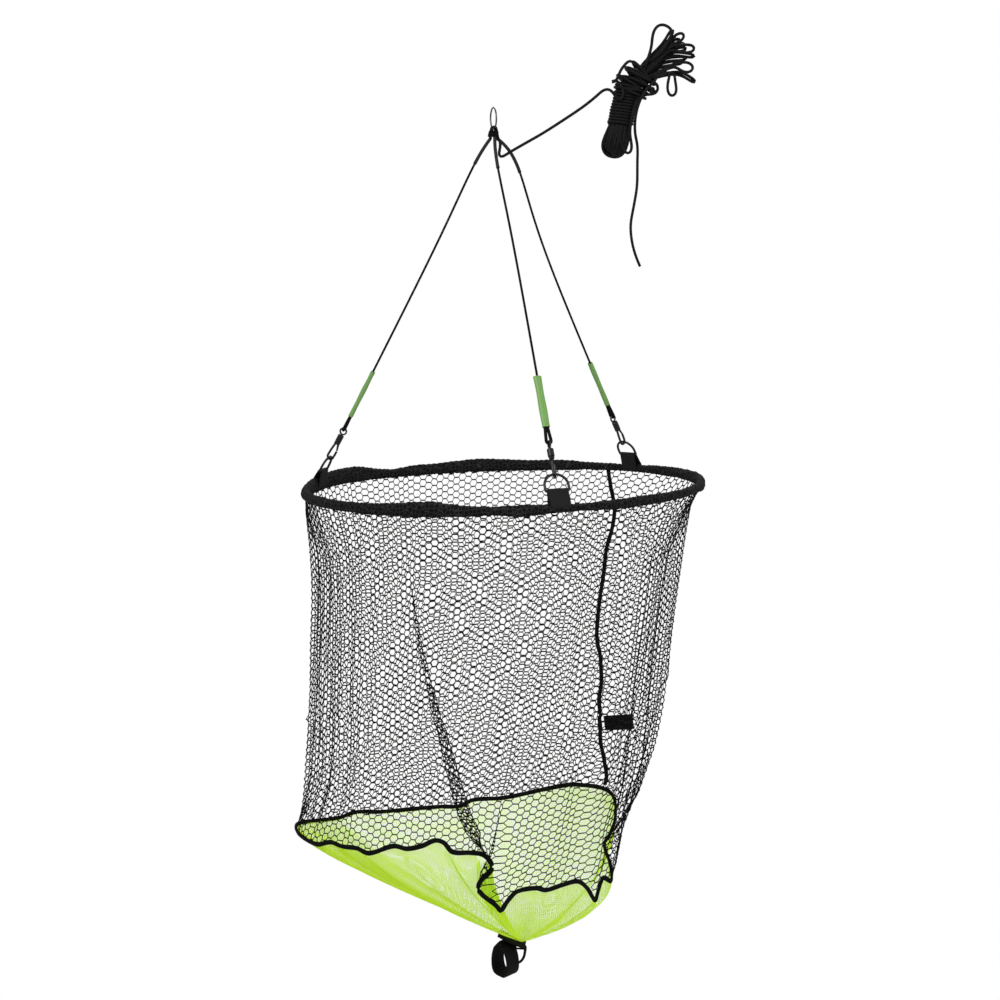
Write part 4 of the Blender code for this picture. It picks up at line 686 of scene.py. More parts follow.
BLACK_CORD = WovenFinish("braided_black_cord", (0.0045, 0.0045, 0.0045), 0.72, specular=0.10, along=1.0,
                         across=4.0, height=0.00035, braided=True)
ROPE = WovenFinish("braided_rope", (0.0050, 0.0050, 0.0050), 0.60, specular=0.16, along=1.2, across=5.0,
                   height=0.0004, braided=True)
WEBBING = WovenFinish("black_webbing", (0.0055, 0.0055, 0.0055), 0.80, specular=0.10, along=900.0, across=520.0,
                      height=0.00018)
TAB_WEBBING = WovenFinish("tab_webbing", (0.0130, 0.0130, 0.0130), 0.80, specular=0.12, along=900.0,
                          across=520.0, height=0.00018)
HEM_CLOTH = WovenFinish("hem_cloth", (0.0050, 0.0050, 0.0050), 0.85, specular=0.08, along=420.0, across=420.0,
                        height=0.00020, netting=170.0)
TAPE = WovenFinish("binding_tape", (0.0040, 0.0040, 0.0040), 0.85, specular=0.08, along=3.0, across=2.0,
                   height=0.0003)
BLACK_NET = Finish("black_netting", (0.0050, 0.0050, 0.0050), 0.75, specular=0.08)
# The lime netting gets a painted glow: it emits its own lime colour at strength 0.14
GREEN_NET = Finish("lime_netting", (0.66, 0.94, 0.045), 0.60, specular=0.15, mottle=0.06, mottle_scale=40.0,
                   bright=0.14)
GREY_TUBE = Finish("grey_tube", (0.014, 0.014, 0.014), 0.50, specular=0.25, mottle=0.15)
GREEN_TUBE = Finish("green_tube", (0.185, 0.375, 0.095), 0.38, specular=0.40, glow=0.25, mottle=0.10)
BRIGHT_STEEL = Finish("bright_steel", (0.13, 0.13, 0.12), 0.26, metallic=1.0, mottle=0.05, mottle_scale=220.0)
CLIP_METAL = Finish("black_clip_metal", (0.032, 0.032, 0.033), 0.36, metallic=0.85, mottle=0.15,
                    mottle_scale=300.0)


class BagShape:
    """The hanging shape of the bag: seam, black wall and green bottom, as functions of hoop angle."""

    def __init__(self) -> None:
        """Make the seam's table and the bottom's table about the tip."""
        self.angles, marks = Spline.round_table(SEAM_MARKS)
        self.seam_line = marks / 1000.0
        self.seam_line[:, 2] = HOOP_HEIGHT - self.seam_line[:, 2]
        self.calm_line = self.smoothed(self.seam_line, 13.0)
        self.cloth = self.cloth_table()
        arms = self.seam_line[:, :2] - np.array(TIP)
        turn = np.unwrap(np.arctan2(arms[:, 1], arms[:, 0]))
        reach = np.linalg.norm(arms, axis=1)
        order = np.argsort(turn % FULL_TURN)
        self.turns = (turn % FULL_TURN)[order]
        self.reaches = reach[order]
        self.rims = self.seam_line[order, 2]

    def seam(self, angle: np.ndarray) -> np.ndarray:
        """Return points of the seam under hoop angles in degrees."""
        return self.beneath(self.seam_line, angle)

    def calm_seam(self, angle: np.ndarray) -> np.ndarray:
        """Return points of the seam without its waves, under hoop angles in degrees."""
        return self.beneath(self.calm_line, angle)

    def beneath(self, line: np.ndarray, angle: np.ndarray) -> np.ndarray:
        """Return points of a table's line round the bag, under hoop angles in degrees."""
        return np.stack([np.interp(angle, self.angles, line[:, c], period=360.0) for c in range(3)], axis=-1)

    @staticmethod
    def rim(turn: np.ndarray) -> tuple[np.ndarray, np.ndarray]:
        """Return the outward directions and the netting's top, at hoop angles in radians."""
        out = np.stack([np.cos(turn), np.sin(turn), np.zeros_like(turn)], axis=-1)
        top = out * HOOP_RADIUS
        top[..., 2] = NET_TOP
        return out, top

    @staticmethod
    def apart(angle: np.ndarray, line: np.ndarray) -> np.ndarray:
        """Return how far hoop angles lie past a line's own, from -180 to 180 degrees."""
        return (np.asarray(angle) - line + 180.0) % 360.0 - 180.0

    @staticmethod
    def smoothed(table: np.ndarray, spread: float) -> np.ndarray:
        """Return a round table with its quick changes taken out.

        Args:
            table: The values, at even angles all the way round.
            spread: The width of the smoothing in degrees.

        Returns:
            The smoothed values.
        """
        count = len(table)
        reach = np.minimum(np.arange(count), count - np.arange(count)) * 360.0 / count
        weights = np.exp(-0.5 * (reach / spread) ** 2)
        weights /= weights.sum()
        spectrum = np.fft.fft(weights)
        mixed = [np.fft.ifft(np.fft.fft(table[:, c]) * spectrum).real for c in range(table.shape[1])]
        return np.stack(mixed, axis=1)

    def pleat(self, angle: np.ndarray, share: np.ndarray) -> tuple[np.ndarray, np.ndarray]:
        """Return how far the pleats shift the wall along the hoop, in metres, and lift it outwards.

        Args:
            angle: Hoop angles in degrees.
            share: Shares down the wall.

        Returns:
            The shifts and the lifts.
        """
        shift = np.zeros(np.broadcast(angle, share).shape)
        lift = np.zeros_like(shift)
        for knots in WALL_PLEATS:
            rows = np.array(knots)
            line = np.interp(share, rows[:, 0], rows[:, 1])
            width = np.interp(share, rows[:, 0], rows[:, 2], left=0.0) + 1e-5
            run = np.radians(self.apart(angle, line)) * (HOOP_RADIUS * (1.0 - 0.30 * share))
            bell = np.exp(-(run / width) ** 2)
            shift -= 4.0 * run * bell
            lift += 0.9 * run * bell
        return shift, lift

    def cloth_table(self) -> np.ndarray:
        """Return how the netting's columns spread over the wall.

        Returns:
            The wall angle that each column passes through, with a row for each share down the wall and a column
            for each hoop angle that it can start at.
        """
        angles = np.linspace(CLOTH_START, CLOTH_START + 360.0, 360 * CLOTH_STEPS + 1)
        middles = (angles[1:] + angles[:-1]) / 2.0
        spread_out = np.zeros((CLOTH_ROWS, len(angles)))
        for row, share in enumerate(np.linspace(0.0, 1.0, CLOTH_ROWS)):
            level = np.full_like(angles, share)
            line = self.calm_wall(angles, level)
            shift, raised = self.pleat(angles, level)
            turn = np.radians(angles)
            line[:, 0] += np.cos(turn) * raised - np.sin(turn) * shift
            line[:, 1] += np.sin(turn) * raised + np.cos(turn) * shift
            cloth = np.linalg.norm(np.diff(line, axis=0), axis=1)
            for knots in WALL_PLEATS:
                table = np.array(knots)
                middle = np.interp(share, table[:, 0], table[:, 1])
                spread = np.degrees(1.3 * np.interp(share, table[:, 0], table[:, 2]) + 0.001) / HOOP_RADIUS
                bell = np.exp(-((middles - middle) / spread) ** 2)
                cloth += np.interp(share, table[:, 0], table[:, 3]) * bell / bell.sum()
            side = np.cos(np.radians(middles))
            cloth *= 1.0 - np.where(side > 0.0, 0.32, 0.20) * np.exp(-((np.abs(side) - 0.80) / 0.20) ** 2)
            bell = np.exp(-((middles - RIGHT_GATHER_ANGLE) / RIGHT_GATHER_SPREAD) ** 2)
            cloth += RIGHT_GATHER * share * bell / bell.sum()
            run = np.concatenate([[0.0], np.cumsum(cloth)])
            half = np.interp(360.0, angles, run)
            front = run / half * 180.0
            back = 180.0 + (run - half) / (run[-1] - half) * 180.0
            starts = CLOTH_START + np.where(angles < 360.0, front, back)
            spread_out[row] = np.interp(angles, starts, angles)
        return spread_out

    def calm_wall(self, angle: np.ndarray, share: np.ndarray) -> np.ndarray:
        """Return points of the wall without its folds, pleats and waves."""
        turn = np.radians(angle)
        out, top = self.rim(turn)
        swell = self.swell(np.cos(turn), share)
        return top + (self.calm_seam(angle) - top) * share[..., None] + out * swell[..., None]

    @staticmethod
    def swell(side: np.ndarray, share: np.ndarray) -> np.ndarray:
        """Return how far the hanging wall swells out.

        Args:
            side: The cosine of the hoop angle.
            share: Shares down the wall.

        Returns:
            The swell in metres.
        """
        lean = np.clip(share, 0.0, 1.0) ** (1.05 + 0.35 * side)
        reach = (0.0015 + 0.0165 * side) * np.sin(HALF_TURN * lean)
        hang = np.clip(np.minimum(share, 1.0 - share) * 6.0, 0.0, 1.0)
        for table, way in ((RIGHT_SWELL, side), (LEFT_SWELL, -side)):
            rows = np.array(table)
            way = np.clip(way, 0.0, 1.0)
            corner = 1.0 - np.exp(-np.arccos(way) / CORNER_SPREAD)
            lift = np.interp(share, rows[:, 0], rows[:, 1]) - CORNER_PULL * corner * hang
            reach = reach + lift * way ** 4
        return reach

    def limit(self, angle: np.ndarray) -> np.ndarray:
        """Return how far down the calm wall the seam lies, as a share, at hoop angles in degrees."""
        return (NET_TOP - self.seam(angle)[..., 2]) / (NET_TOP - self.calm_seam(angle)[..., 2])

    def row_share(self, start: np.ndarray, run: np.ndarray) -> np.ndarray:
        """Return how far down the wall the netting's rows lie.

        Args:
            start: The columns' hoop angles in degrees.
            run: The cloth's length down from the hem.

        Returns:
            The shares down the wall; past 1 the cloth has ended.
        """
        angles = np.linspace(CLOTH_START, CLOTH_START + 360.0, 721)
        shares = np.linspace(0.0, 1.0, 21)
        line = self.calm_wall(*np.broadcast_arrays(angles[:, None], shares[None, :]))
        lengths = np.sum(np.linalg.norm(np.diff(line, axis=1), axis=2), axis=1)
        share = run / lengths.mean()
        for _ in range(8):
            angle = self.column_angles(start, np.clip(share, 0.0, 1.0))
            share = 0.4 * share + 0.6 * run / np.interp(angle, angles, lengths)
        return share

    def column_angles(self, start: np.ndarray, share: np.ndarray) -> np.ndarray:
        """Return the wall angles that columns pass through.

        Args:
            start: The columns' hoop angles in degrees.
            share: Shares down the wall, in an array of the same shape.

        Returns:
            The wall angles in degrees.
        """
        table = self.cloth
        row = np.clip(share, 0.0, 1.0) * (CLOTH_ROWS - 1.0)
        column = (start - CLOTH_START) % 360.0 * CLOTH_STEPS
        upper = np.clip(row.astype(int), 0, CLOTH_ROWS - 2)
        left = np.clip(column.astype(int), 0, table.shape[1] - 2)
        down, right = row - upper, column - left
        return ((table[upper, left] * (1.0 - right) + table[upper, left + 1] * right) * (1.0 - down)
                + (table[upper + 1, left] * (1.0 - right) + table[upper + 1, left + 1] * right) * down)

    def fold(self, angle: np.ndarray, share: np.ndarray) -> np.ndarray:
        """Return how far the wall's folds and ripples lift it outwards.

        Args:
            angle: Hoop angles in degrees.
            share: Shares down the wall, 0 at the hem and 1 at the seam.

        Returns:
            The lifts in metres.
        """
        lift = np.zeros(np.broadcast(angle, share).shape)
        for knots, height, width in WALL_FOLDS:
            rows = np.array(knots)
            line = np.interp(share, rows[:, 0], rows[:, 1])
            run = np.radians(self.apart(angle, line)) * 0.25
            fade = np.clip((share - rows[0, 0] + 0.12) / 0.15, 0.0, 1.0)
            fade = fade * np.clip((1.04 - share) / 0.12, 0.0, 1.0)
            lift += height * np.exp(-(run / width) ** 2) * fade
        for count, size, phase, drift in WALL_RIPPLES:
            wave = np.sin(np.radians(angle) * count + phase + drift * share)
            lift += size * wave * np.sqrt(np.clip(share, 0, 1))
        return lift

    def wall(self, angle: np.ndarray, share: np.ndarray, lift: float = 0.0) -> np.ndarray:
        """Return points of the black wall.

        Args:
            angle: Hoop angles in degrees.
            share: Shares down the calm wall, 0 at the hem and about 1 at the seam.
            lift: A distance to stand off outwards.

        Returns:
            The points.
        """
        angle, share = np.broadcast_arrays(np.asarray(angle, float), np.asarray(share, float))
        turn = np.radians(angle)
        out, top = self.rim(turn)
        calm = self.calm_seam(angle)
        limit = self.limit(angle)
        down = np.clip(share / limit, 0.0, 1.0)
        wave = (self.seam(angle) - top - (calm - top) * limit[..., None]) * (down ** 6)[..., None]
        shift, raised = self.pleat(angle, share)
        fade = np.clip((1.0 - down) / 0.06, 0.0, 1.0)
        reach = self.swell(np.cos(turn), down) + raised * fade + lift
        reach = reach + self.fold(angle, down) * np.clip(fade * 2.0, 0.0, 1.0)
        tangent = np.stack([-np.sin(turn), np.cos(turn), np.zeros_like(turn)], axis=-1)
        along = tangent * (shift * fade)[..., None]
        return top + (calm - top) * share[..., None] + wave + out * reach[..., None] + along

    def bottom(self, turn: np.ndarray, share: np.ndarray) -> np.ndarray:
        """Return points of the green bottom.

        Args:
            turn: Angles about the tip in radians.
            share: Shares in from the seam, 0 at the seam and 1 at the tip.

        Returns:
            The points.
        """
        turn, share = np.broadcast_arrays(np.asarray(turn, float), np.asarray(share, float))
        reach = np.interp(turn % FULL_TURN, self.turns, self.reaches, period=FULL_TURN)
        rim = np.interp(turn % FULL_TURN, self.turns, self.rims, period=FULL_TURN)
        out = np.stack([np.cos(turn), np.sin(turn)], axis=-1)
        flat = np.array(TIP) + out * (reach * (1.0 - share))[..., None]
        full = BOTTOM_CURVE - BOTTOM_CURVE_LEAN * np.cos(turn)
        low = HOOP_HEIGHT - BOTTOM_DEPTH
        height = rim + (low - rim) * np.clip(share, 0.0, 1.0) ** full
        wave = sum(np.sin(turn * count + phase + drift * share) * size
                   for count, size, phase, drift in BOTTOM_RIPPLES)
        height = height + wave * np.clip(share * 4.0, 0.0, 1.0) * np.clip((1.0 - share) * 3.0, 0.0, 1.0)
        return np.concatenate([flat, height[..., None]], axis=-1)


@dataclass
class BlackWall:
    """The black netting of flat-topped hexagons between hem and seam."""

    shape: BagShape
    columns: int = 170
    pitch: float = 0.0113
    strand: float = 0.00071
    bar: float = 0.00110
    jitter: float = 0.00035
    sway: float = 0.0022
    length: float = 0.68

    def build(self) -> None:
        """Build the netting in a front and a back half."""
        line = (np.arange(self.columns) + 0.5) * 360.0 / self.columns
        levels = int(self.length / (self.pitch / 2.0))
        i, m = np.meshgrid(np.arange(self.columns), np.arange(levels), indexing="ij")
        leaning = np.where((m + i) % 2 == 1, -1.0, 1.0) / 6.0
        generator = np.random.default_rng(7)
        shake = generator.normal(0.0, 1.0, (2, self.columns, levels))
        run = m * self.pitch / 2.0 + shake[0] * self.jitter * (m > 0)
        run += self.sway * np.sin(i * FULL_TURN / self.columns * 7.0 + m * 0.11) * np.clip(m / 20.0, 0, 1)
        angle = line[:, None] + leaning * 360.0 / self.columns
        angle = angle + np.degrees(shake[1] * self.jitter / HOOP_RADIUS)
        share = self.shape.row_share(angle, run)
        place = self.shape.column_angles(angle, np.clip(share, 0.0, 1.0))
        limit = self.shape.limit(place)
        inside = share < limit
        points = self.shape.wall(place, np.minimum(share, limit))
        front = np.sin(np.radians(line)) < 0.0
        finish = BLACK_NET.make()
        for name, half in (("front", front), ("back", ~front)):
            strands = Strands()
            keep = inside[:, :-1] & half[:, None]
            strands.add(points[:, :-1][keep], points[:, 1:][keep], self.strand)
            before = np.roll(points, 1, axis=0)
            flat = ((m + i) % 2 == 1) & inside & np.roll(inside, 1, axis=0) & half[:, None]
            strands.add(before[flat], points[flat], self.bar, sides=4)
            Maker.dress(strands.build("black_netting_" + name), finish, "black_net", "net", "upper_net")


@dataclass
class GreenBottom:
    """The fine lime netting of the bottom."""

    shape: BagShape
    pitch: float = 0.0041
    strand: float = 0.00048
    jitter: float = 0.00022
    tip_hole: float = 0.004

    def build(self) -> None:
        """Build the netting as a flat honeycomb laid over the bottom's shape."""
        turns = np.linspace(0.0, FULL_TURN, 721)[:-1]
        shares = np.linspace(0.0, 1.0, 61)
        meridians = self.shape.bottom(turns[:, None], shares[None, :])
        steps = np.linalg.norm(np.diff(meridians, axis=1), axis=2)
        runs = np.concatenate([np.zeros((len(turns), 1)), np.cumsum(steps, axis=1)], axis=1)
        whole = runs[:, -1]
        size = float(whole.max()) + self.pitch
        column = self.pitch / math.sqrt(3.0) * 1.5
        half = int(size / column) + 1
        tall = int(size / (self.pitch / 2.0)) + 1
        i, m = np.meshgrid(np.arange(-half, half + 1), np.arange(-tall, tall + 1), indexing="ij")
        x = (i + 0.5 + np.where((m + i) % 2 == 1, -1.0, 1.0) / 6.0) * column
        y = m * self.pitch / 2.0
        generator = np.random.default_rng(11)
        x = x + generator.normal(0.0, self.jitter, x.shape)
        y = y + generator.normal(0.0, self.jitter, x.shape)
        reach = np.hypot(x, y)
        turn = np.arctan2(y, x) % FULL_TURN
        limit = np.interp(turn, turns, whole, period=FULL_TURN)
        place = (turn / FULL_TURN * len(turns)).astype(int) % len(turns)
        run = np.clip(limit - reach, 0.0, None)
        share = np.zeros_like(x)
        for k in np.unique(place):
            chosen = place == k
            share[chosen] = np.interp(run[chosen], runs[k], shares)
        inside = (reach < limit) & (reach > self.tip_hole)
        near = reach < limit + self.pitch * 0.6
        points = self.shape.bottom(turn, share)
        finish = GREEN_NET.make()
        flat = ((m + i) % 2 == 1)[1:]
        for name, side in (("front", turn >= HALF_TURN), ("back", turn < HALF_TURN)):
            strands = Strands()
            keep = (inside[:, :-1] | inside[:, 1:]) & near[:, :-1] & near[:, 1:] & side[:, :-1]
            strands.add(points[:, :-1][keep], points[:, 1:][keep], self.strand)
            keep = flat & (inside[1:] | inside[:-1]) & near[1:] & near[:-1] & side[:-1]
            strands.add(points[:-1][keep], points[1:][keep], self.strand)
            Maker.dress(strands.build("lime_netting_" + name), finish, "green_net", "net", "lower_net")


@dataclass
class SeamBinding:
    """The bound tape over the seam between the two nettings."""

    shape: BagShape
    half_width: float = 0.0036
    thickness: float = 0.62

    def build(self) -> None:
        """Build the tape as a flattened tube with a slow wobble."""
        angles = np.linspace(0.0, 360.0, 721)[:-1]
        line = self.shape.seam(angles)
        path = [Vector(p) for p in line]
        sizes = [self.half_width * (1.0 + 0.12 * noise.noise(p * 55.0)) for p in path]
        tape = Maker.tube("seam_tape", path, sizes, closed=True, flatten=self.thickness,
                          up=Vector((0.0, 0.0, 1.0)))
        Maker.dress(tape, TAPE.make(), "webbing", "net", "seam_binding")


@dataclass
class SideSeam:
    """The bound seam down the wall."""

    shape: BagShape
    radius: float = 0.0032
    stand_off: float = 0.0024

    def build(self) -> None:
        """Build the seam as a lumpy cord that stands off the netting."""
        rows = np.array(SIDE_SEAM_MARKS)
        shares = np.linspace(0.0, 0.99, 150)
        angles = np.interp(shares, rows[:, 0], rows[:, 1])
        angles = np.convolve(np.pad(angles, 3, mode="edge"), np.ones(7) / 7.0, mode="valid")
        path = [Vector(p) for p in self.shape.wall(angles, shares * self.shape.limit(angles), self.stand_off)]
        sizes = [self.radius * (1.0 + 0.10 * noise.noise(p * 80.0)) for p in path]
        seam = Maker.tube("side_seam_cord", path, sizes, flatten=0.7)
        Maker.dress(seam, TAPE.make(), "webbing", "net", "side_seam")


@dataclass
class HoopHem:
    """The gathered cloth round the hoop."""

    steps: int = 720
    around: int = 24
    length: float = 1.857
    girth: float = 0.05
    pucker: float = 0.00045
    lumps: float = 0.0011

    def build(self) -> None:
        """Build the cloth as a puckered tube round the rod."""
        _, reach = Spline.round_table(HEM_MARKS, self.steps)
        rows = np.zeros((self.steps, self.around, 3))
        for s in range(self.steps):
            turn = FULL_TURN * s / self.steps
            out = Vector((math.cos(turn), math.sin(turn), 0.0))
            up, down = reach[s] / 1000.0
            gather = self.pucker * math.sin(turn * 210.0 + 3.0 * noise.noise(out * 6.0))
            for k in range(self.around):
                angle = FULL_TURN * k / self.around
                tall = up if math.sin(angle) > 0.0 else down
                wide = HEM_RADIUS * (0.96 + 0.10 * noise.noise(out * 14.0))
                spot = out * (HOOP_RADIUS + wide * math.cos(angle))
                spot.z = HOOP_HEIGHT + tall * math.sin(angle)
                rough = noise.noise(Vector((out.x * 24.0, out.y * 24.0, k * 0.35)))
                push = self.lumps * rough + gather * (0.4 + 0.6 * abs(math.sin(angle)))
                spot += (out * math.cos(angle) + Vector((0.0, 0.0, math.sin(angle)))) * push
                rows[s, k] = spot
        faces = [(a, d, c, b) for a, b, c, d in Maker.bands(self.steps, self.around)]
        maps = []
        for s in range(self.steps):
            u0, u1 = self.length * s / self.steps, self.length * (s + 1) / self.steps
            for k in range(self.around):
                v0, v1 = self.girth * k / self.around, self.girth * (k + 1) / self.around
                maps += [u0, v0, u1, v0, u1, v1, u0, v1]
        hem = Maker.piece("hem_cloth", rows.reshape(-1, 3), faces)
        Maker.lay_map(hem, maps)
        Maker.dress(hem, HEM_CLOTH.make(), "webbing", "net", "hoop_hem", "hoop_rod")


@dataclass
class Legs:
    """The three legs: cord, upper tube, green tube and the bight under it."""

    cord_finish: bpy.types.Material
    sleeve_wall: float = 0.0005
    mouth_flare: float = 0.10
    green_half_thick: float = 0.0037
    green_wall: float = 0.0011

    def route(self, leg: Leg) -> list[Vector]:
        """Return the path of a leg's cord, from the lashing to its end in the green tube."""
        top = leg.top()
        start = top - Vector((0.0, 0.0, 0.0016))
        end = leg.bar() + leg.axis() * (GREEN_BOTTOM + 0.010)
        free = (leg.bar() + leg.axis() * (GREEN_BOTTOM + GREEN_LENGTH) - start).length
        knots = [top, start]
        for k in range(1, 15):
            along = start.lerp(end, (k / 14.0) ** 1.5)
            run = (along - start).length
            reach = run / 0.070
            fade = max(0.0, 1.0 - run / free) ** 2
            knots.append(along + leg.bow * reach * math.exp(1.0 - reach) * fade)
        return Spline.evenly(Spline.through(knots), 0.004)

    def build(self) -> None:
        """Build every leg."""
        grey = GREY_TUBE.make()
        green = GREEN_TUBE.make()
        for leg in Leg:
            path = self.route(leg)
            cord = Maker.tube("cord_of_leg_" + leg.label, path, CORD_RADIUS)
            Maker.dress(cord, self.cord_finish, "black_cord", "net", "leg_cord_" + leg.label)
            self.build_upper_tube(leg, path, grey)
            self.build_green_tube(leg, green)
            self.build_bight(leg)

    def build_upper_tube(self, leg: Leg, path: list[Vector], finish: bpy.types.Material) -> None:
        """Build the dark tube over the top of a leg, with an open lower mouth."""
        stretch = Spline.between(path, GAP, leg.sleeve)
        flares = [max(0.0, (k - (len(stretch) - 3)) / 3.0) for k in range(len(stretch))]
        sizes = [SLEEVE_RADIUS * (1.0 + self.mouth_flare * flare) for flare in flares]
        tube = self.open_tube("upper_tube_" + leg.label, stretch, sizes, self.sleeve_wall)
        Maker.dress(tube, finish, "grey_tube", "net", "upper_sleeve_" + leg.label)

    @staticmethod
    def open_tube(name: str, path: list[Vector], sizes: list[float], wall: float) -> bpy.types.Object:
        """Return a soft tube with a real bore and rounded mouths.

        Args:
            name: The piece's name.
            path: Its centreline.
            sizes: Its outer radius at each point.
            wall: Its wall.

        Returns:
            The tube.
        """
        sides = 16
        last = len(path) - 1
        outer = list(zip(path, sizes))
        inner = [(p, r - wall) for p, r in reversed(outer)]
        lip = (path[-1] + (path[-1] - path[-2]).normalized() * wall * 0.4, sizes[-1] - wall * 0.5)
        mouth = (path[0] + (path[0] - path[1]).normalized() * wall * 0.4, sizes[0] - wall * 0.5)
        loop = outer + [lip] + inner + [mouth]
        order = list(range(last + 1)) + [last] + list(range(last, -1, -1)) + [0]
        side = (path[1] - path[0]).normalized().orthogonal().normalized()
        across = []
        for k in range(last + 1):
            way = (path[min(last, k + 1)] - path[max(0, k - 1)]).normalized()
            side = (side - way * side.dot(way)).normalized()
            across.append((side.copy(), way.cross(side)))
        points = []
        for (spot, radius), place in zip(loop, order):
            wide, deep = across[place]
            for k in range(sides):
                angle = FULL_TURN * k / sides
                points.append(spot + (wide * math.cos(angle) + deep * math.sin(angle)) * radius)
        return Maker.piece(name, np.array([p[:] for p in points]), Maker.bands(len(loop), sides))

    def build_green_tube(self, leg: Leg, finish: bpy.types.Material) -> None:
        """Build the oval tube over the doubled cord, slightly waisted between its two cords' ends."""
        half_across = 0.0056 if leg is Leg.FRONT else 0.0043
        placed = leg.frame()
        rows = 26
        sides = 28
        outside = [(i / (rows - 1.0), 0.0) for i in range(rows)]
        inside = [(1.0 - share, self.green_wall) for share, _ in outside]
        points = []
        for share, shrink in outside + inside:
            height = GREEN_BOTTOM + GREEN_LENGTH * share
            lip = max(0.0, 1.0 - min(share, 1.0 - share) / 0.03)
            swell = 1.0 + 0.05 * math.sin(share * 9.0 + leg.angle) + 0.05 * lip
            for k in range(sides):
                angle = FULL_TURN * k / sides
                dent = 1.0 - 0.10 * math.sin(angle) ** 2 * (0.6 + 0.4 * math.sin(share * 14.0 + leg.angle))
                x = (half_across * swell - shrink) * math.cos(angle)
                y = (self.green_half_thick * swell * dent - shrink) * math.sin(angle)
                points.append(placed @ Vector((x, y, height)))
        spots = np.array([p[:] for p in points])
        tube = Maker.piece("green_tube_" + leg.label, spots, Maker.bands(2 * rows, sides))
        Maker.round_edges(tube, 0.0004)
        Maker.settle(tube)
        Maker.dress(tube, finish, "green_tube", "net", "green_sleeve_" + leg.label)

    def build_bight(self, leg: Leg) -> None:
        """Build the cord's bight under the green tube, through the swivel's eye."""
        bottom = BIGHT_BOTTOM + BIGHT_HALF
        inner = CORD_RADIUS + 0.0002
        ends = [(inner, 0.0, GREEN_BOTTOM + 0.006), (inner, 0.0, GREEN_BOTTOM - 0.001),
                (BIGHT_HALF * 0.95, 0.0, bottom + 0.004)]
        knots = [Vector((-x, y, z)) for x, y, z in ends]
        for k in range(13):
            angle = HALF_TURN + HALF_TURN * k / 12.0
            knots.append(Vector((BIGHT_HALF * math.cos(angle), 0.0, bottom + BIGHT_HALF * math.sin(angle))))
        knots += [Vector(end) for end in reversed(ends)]
        placed = leg.frame()
        path = Spline.evenly(Spline.through([placed @ k for k in knots], 6), 0.0008)
        bight = Maker.tube("bight_" + leg.label, path, 1.35 * CORD_RADIUS)
        Maker.dress(bight, self.cord_finish, "black_cord", "swivel_" + leg.label, "cord_loop_" + leg.label)


@dataclass
class Crown:
    """The hang ring, the cord loops on it and the whipping under them."""

    cord_finish: bpy.types.Material
    turns: int = 6
    top_radius: float = 0.0058
    bottom_radius: float = 0.0078
    shift: float = -0.0008
    loop_cord: float = 0.0015
    loop_spacing: float = 0.0038

    def build(self) -> None:
        """Build ring, loops and whipping."""
        self.build_ring()
        self.build_loops()
        self.build_whipping()

    def build_ring(self) -> None:
        """Build the bright welded ring."""
        bpy.ops.object.select_all(action="DESELECT")
        bpy.ops.mesh.primitive_torus_add(
            major_radius=RING_RADIUS, minor_radius=RING_WIRE_RADIUS * 1.12,
            major_segments=72, minor_segments=18,
            location=(0.0, 0.0, RING_WIRE_RADIUS - RING_RADIUS), rotation=(0.0, QUARTER_TURN, RING_TURN))
        ring = bpy.context.active_object
        ring.name = "bright_ring"
        Maker.settle(ring)
        ring.data.shade_smooth()
        Maker.dress(ring, BRIGHT_STEEL.make(), "bright_steel", "hang_ring", "hang_ring")

    def build_loops(self) -> None:
        """Build the three cord loops over the ring's wire."""
        bend = RING_WIRE_RADIUS + 0.0006 + self.loop_cord
        foot = LASHING_TOP - RING_BOTTOM - 0.002
        placed = Matrix.Rotation(RING_TURN, 4, "Z")
        placed.translation = Vector((0.0, 0.0, RING_BOTTOM))
        for place, leg in enumerate(Leg):
            along = (place - 1) * self.loop_spacing
            rise = RING_RADIUS - math.sqrt(RING_RADIUS ** 2 - along ** 2)
            knots = [Vector((-bend * 1.60, along, foot)), Vector((-bend * 1.35, along, foot * 0.5))]
            for k in range(11):
                angle = HALF_TURN * (1.0 - k / 10.0)
                knots.append(Vector((bend * math.cos(angle), along, rise + bend * math.sin(angle))))
            knots += [Vector((bend * 1.35, along, foot * 0.5)), Vector((bend * 1.60, along, foot))]
            loop = Maker.tube("loop_on_ring_" + leg.label, [placed @ k for k in knots], self.loop_cord)
            Maker.dress(loop, self.cord_finish, "black_cord", "net", "ring_loop_" + leg.label)

    def build_whipping(self) -> None:
        """Build the whipping as a wound cord over the bundled cords."""
        height = RING_BOTTOM - 0.0018 - WHIPPING_BOTTOM
        narrowing = self.top_radius - self.bottom_radius
        cord = height / self.turns / 2.0
        steps = self.turns * 28
        path = []
        for k in range(steps + 1):
            share = k / steps
            angle = FULL_TURN * self.turns * share
            radius = self.bottom_radius + narrowing * share
            path.append(Vector((radius * math.cos(angle) + self.shift, radius * math.sin(angle),
                                WHIPPING_BOTTOM + cord + (height - 2.0 * cord) * share)))
        whipping = Maker.tube("whipping", path, cord * 1.08)
        core_path = [Vector((self.shift, 0.0, WHIPPING_BOTTOM + height * share))
                     for share in (0.02, 0.25, 0.5, 0.75, 0.98)]
        core_sizes = [self.bottom_radius + narrowing * k / 4.0 for k in range(5)]
        core = Maker.tube("whipping_core", core_path, core_sizes, 24)
        for thing in (whipping, core):
            Maker.dress(thing, self.cord_finish, "black_cord", "net", "lashing")


